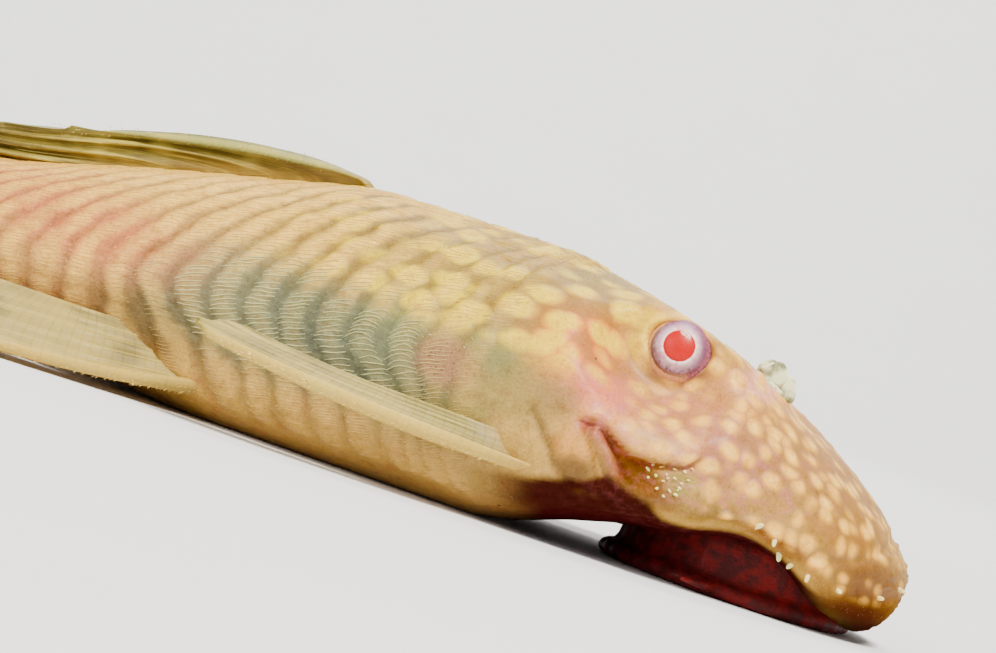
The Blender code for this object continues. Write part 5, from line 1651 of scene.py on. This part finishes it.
def fin_finish(name, membrane, dark, ray_colour, spine_colour, flush, streaks):
    """Soft flesh crossed by pale jointed rays, streaked along its length."""
    sail = Finish(name)
    ridge, ray, reach, share = (sail.mark(word) for word in ("ridge", "ray", "reach", "share"))
    where = sail.place()
    cloud = sail.noise(where, 0.30, 3.0, 0.5)
    grain = sail.noise(where, 4.0, 3.0, 0.6)
    flow = sail.add("CombineXYZ", 0, (), i0=sail.times(ray, 2.3), i1=sail.times(reach, 0.12))
    streak = sail.noise(flow, 1.0, 4.0, 0.6)
    colour = sail.mix(sail.between(cloud, 0.36, 0.66, 0.0, 0.8), membrane, dark)
    colour = sail.mix(sail.between(streak, 0.44, 0.62, 0.0, streaks), colour, dark)
    colour = sail.mix(sail.between(streak, 0.50, 0.34, 0.0, streaks), colour, ray_colour)
    joint = sail.math("FRACT", sail.math("MULTIPLY_ADD", reach, 1.55, sail.times(ray, 0.37)))
    joint = sail.between(sail.math("ABSOLUTE", sail.math("SUBTRACT", joint, 0.5)), 0.40, 0.49)
    along_ray = sail.mix(sail.times(joint, 0.06), ray_colour, dark)
    colour = sail.mix(sail.times(ridge, 0.40), colour, along_ray)
    spine = sail.between(ray, 0.75, 0.15)
    colour = sail.mix(sail.times(spine, 0.75), colour, spine_colour)
    blotch = sail.noise(where, 0.22, 2.0, 0.5)
    colour = sail.mix(sail.between(blotch, 0.46, 0.64, 0.0, 0.55), colour, ray_colour)
    colour = sail.mix(sail.between(share, 0.22, 0.03, 0.0, 0.6), colour, flush)
    colour = sail.mix(sail.between(grain, 0.45, 0.25, 0.0, 0.25), colour, dark)
    normal = sail.raised(joint, 0.00003, None, 0.6)
    normal = sail.raised(streak, 0.00008, normal, 0.6)
    normal = sail.raised(grain, 0.00004, normal, 0.7)
    return sail.done(colour, sail.between(grain, 0.3, 0.7, 0.40, 0.56), normal, Coat_Weight=0.05,
                     Coat_Roughness=0.3, Specular_IOR_Level=0.32)


def spine_hooks(name, ray, length_share, count, size, finish):
    """Short hooked odontodes in rows along a fin's stout spine."""
    chance = np.random.default_rng(len(name))
    t = np.sort(chance.uniform(0.12, length_share, count))
    line = ray(0, t)
    ahead = unit(ray(0, np.minimum(t + 0.02, 1.0)) - ray(0, t - 0.02))
    turn = chance.uniform(0, 2 * np.pi, count)
    guide = np.array([0, 0, 1.0])
    first = unit(np.cross(ahead, guide))
    second = np.cross(ahead, first)
    out = np.cos(turn)[:, None] * first + np.sin(turn)[:, None] * second
    reach = (0.46 * (1 - 0.4 * t))[:, None]
    root = line + out * reach
    scale = chance.uniform(0.7, 1.3, count)[:, None] * size
    across = np.cross(out, ahead)
    base = root - out * 0.08
    rear, beside = base - ahead * 0.06 * scale, across * 0.09 * scale
    tip = root + (out * 0.16 + ahead * 0.30) * scale
    units = np.stack([base + ahead * 0.10 * scale, rear + beside, rear - beside, tip], axis=1)
    keep = units[..., 2].min(axis=1) > 0.03
    units = units[keep]
    uvs = np.stack([t[keep], turn[keep] / 7], -1) * 0.9 + 0.03
    colours = np.tile(paint(246, 232, 196), (len(units), 1))
    piece = joined(name, units, THORN_FACES, colours, uvs)
    piece.data.materials.append(finish)
    return put(sealed_joined(piece), "fin_rays")


def fins():
    """Every fin with its own finish, and the hooks on their spines."""
    pectoral = fin_finish("pectoral_fin", paint(196, 182, 124), paint(146, 130, 80), paint(218, 204, 150),
                          paint(222, 206, 150), paint(214, 184, 124), 0.55)
    pelvic = fin_finish("pelvic_fin", paint(196, 178, 122), paint(152, 130, 80), paint(212, 196, 144),
                        paint(220, 202, 142), paint(206, 164, 108), 0.55)
    olive = fin_finish("dorsal_fin", paint(186, 166, 96), paint(132, 108, 44), paint(214, 202, 142),
                       paint(196, 190, 140), paint(186, 150, 76), 0.80)
    hook = tooth_finish("fin_hook", 0.3)
    fin("dorsal_sail", dorsal_ray, len(DORSAL_LENGTHS), 130, 14, olive, "dorsal_fin")
    fin("anal_sail", anal_ray, len(ANAL_LENGTHS), 60, 10, pelvic, "anal_fin", spine=0.5)
    fin("tail_sail", caudal_ray, CAUDAL_RAYS, 120, 11, pelvic, "caudal_fin", spines=(0, CAUDAL_RAYS - 1),
        branches=4)
    fin("adipose_sail", adipose_ray, 2, 40, 16, pelvic, "adipose_fin")
    for side in (-1, 1):
        for kind, finish in (("pectoral", pectoral), ("pelvic", pelvic)):
            roots, middles, tips, count, bulge, thick = PAIRED_FINS[kind]
            ray = paired_ray(roots, middles, tips, count, bulge, side)
            fin(kind + "_sail" + word_of(side), ray, count, 130, 16, finish, kind + "_fin" + word_of(side),
                membrane=0.22, crest=0.30, spine=thick, branches=4)
            spine_hooks(kind + "_hooks" + word_of(side), ray, 0.97, 240, 0.5, hook)
    spine_hooks("dorsal_hooks", dorsal_ray, 0.9, 100, 0.4, hook)


# The camera looks square at the right side, turned so that the head points down to the right
CAMERA_AIM = (29.0, 0.0, 11.25)
CAMERA_DISTANCE = 300.0
CAMERA_ELEVATION = 1.0
CAMERA_ROLL = 19.0
VIEW_WIDTH = 62.6
SENSOR = 36.0

# The studio, in metres
FLOOR_WIDTH = 2.6
FLOOR_FRONT = -1.1
FLOOR_REAR = 0.62
COVE_STEPS = 12
COVE_DEGREES = 7.0
COVE_STEP = 0.03
WALL_RISE = (0, 0.05, 0.45)
# Lamps: (name, place, aim, size, power in watts, colour)
LAMPS = (
    ("key", (0.14, -0.26, 0.47), (0.03, 0, 0.01), 0.18, 6.6, (1.0, 0.97, 0.93)),
    ("fill", (-0.35, -0.35, 0.20), (0.02, 0, 0.01), 0.35, 1.9, (0.97, 0.98, 1.0)),
    ("rim", (0.05, 0.30, 0.40), (0.02, 0, 0.01), 0.20, 0.6, (1.0, 1.0, 1.0)),
    ("wall", (0.0, 0.36, 0.62), (0.0, 1.0, 0.05), 0.40, 9.0, (1.0, 1.0, 1.0)),
)


def camera():
    """Looks at the fish square from its right side, tilted so that the head points down."""
    up = math.radians(CAMERA_ELEVATION)
    look = Vector((0, -math.cos(up), math.sin(up)))
    lens = bpy.data.cameras.new("camera")
    lens.sensor_width = SENSOR
    lens.lens = SENSOR * CAMERA_DISTANCE / VIEW_WIDTH
    lens.clip_start = 0.01
    lens.clip_end = 10.0
    view = bpy.data.objects.new("camera", lens)
    bpy.context.scene.collection.objects.link(view)
    place = (Vector(CAMERA_AIM) + look * CAMERA_DISTANCE) * MM
    turn = (-look).to_track_quat("-Z", "Y").to_matrix().to_4x4()
    roll = Matrix.Rotation(math.radians(CAMERA_ROLL), 4, "Z")
    view.matrix_world = Matrix.Translation(place) @ turn @ roll
    bpy.context.scene.camera = view


def lamp(name, place, aim, size, power, colour):
    """A round soft lamp that points from its place to its aim."""
    light = bpy.data.lights.new(name, "AREA")
    light.shape = "DISK"
    light.size = size
    light.energy = power
    light.color = colour
    holder = bpy.data.objects.new(name, light)
    bpy.context.scene.collection.objects.link(holder)
    holder.location = place
    holder.rotation_euler = (Vector(aim) - Vector(place)).to_track_quat("-Z", "Y").to_euler()


def studio():
    """A pale floor that curves up behind the fish into a backdrop, with soft lamps over both."""
    bpy.ops.object.select_all(action="DESELECT")
    bpy.ops.mesh.primitive_plane_add(size=1)
    floor = bpy.context.object
    floor.name = "studio_floor"
    bpy.ops.object.mode_set(mode="EDIT")
    bpy.ops.transform.resize(value=(FLOOR_WIDTH, FLOOR_REAR - FLOOR_FRONT, 1), center_override=(0, 0, 0))
    bpy.ops.transform.translate(value=(0, (FLOOR_REAR + FLOOR_FRONT) / 2, 0))
    bpy.ops.mesh.select_mode(type="EDGE")
    bpy.ops.mesh.select_all(action="DESELECT")
    bpy.ops.object.mode_set(mode="OBJECT")
    for edge in floor.data.edges:
        edge.select = all(floor.data.vertices[v].co.y > 0 for v in edge.vertices)
    bpy.ops.object.mode_set(mode="EDIT")
    for step in range(1, COVE_STEPS + 1):
        turn = math.radians(step * COVE_DEGREES)
        away = (0, COVE_STEP * math.cos(turn), COVE_STEP * math.sin(turn))
        bpy.ops.mesh.extrude_region_move(TRANSFORM_OT_translate={"value": away})
    bpy.ops.mesh.extrude_region_move(TRANSFORM_OT_translate={"value": WALL_RISE})
    bpy.ops.object.mode_set(mode="OBJECT")
    smoothed(floor)
    paper = Finish("studio_paper")
    grain = paper.noise(paper.place((0.05, 0.05, 0.05)), 1.0, 3.0)
    colour = paper.mix(grain, (0.80, 0.79, 0.765), (0.84, 0.83, 0.81))
    floor.data.materials.append(paper.done(colour, 0.85))
    for settings in LAMPS:
        lamp(*settings)
    world = bpy.data.worlds.new("studio_air")
    bpy.context.scene.world = world
    world.use_nodes = True
    air = world.node_tree.nodes["Background"].inputs
    air["Color"].default_value = (1.0, 0.99, 0.97, 1.0)
    air["Strength"].default_value = 0.42


camera()
studio()
skin()
combs()
odontodes()
lips()
teeth()
for side in (-1, 1):
    eyeball(side)
    iris_lobe(side)
    nostril_flap(side)
    bristles(side)
    cheek_hooks(side)
fins()
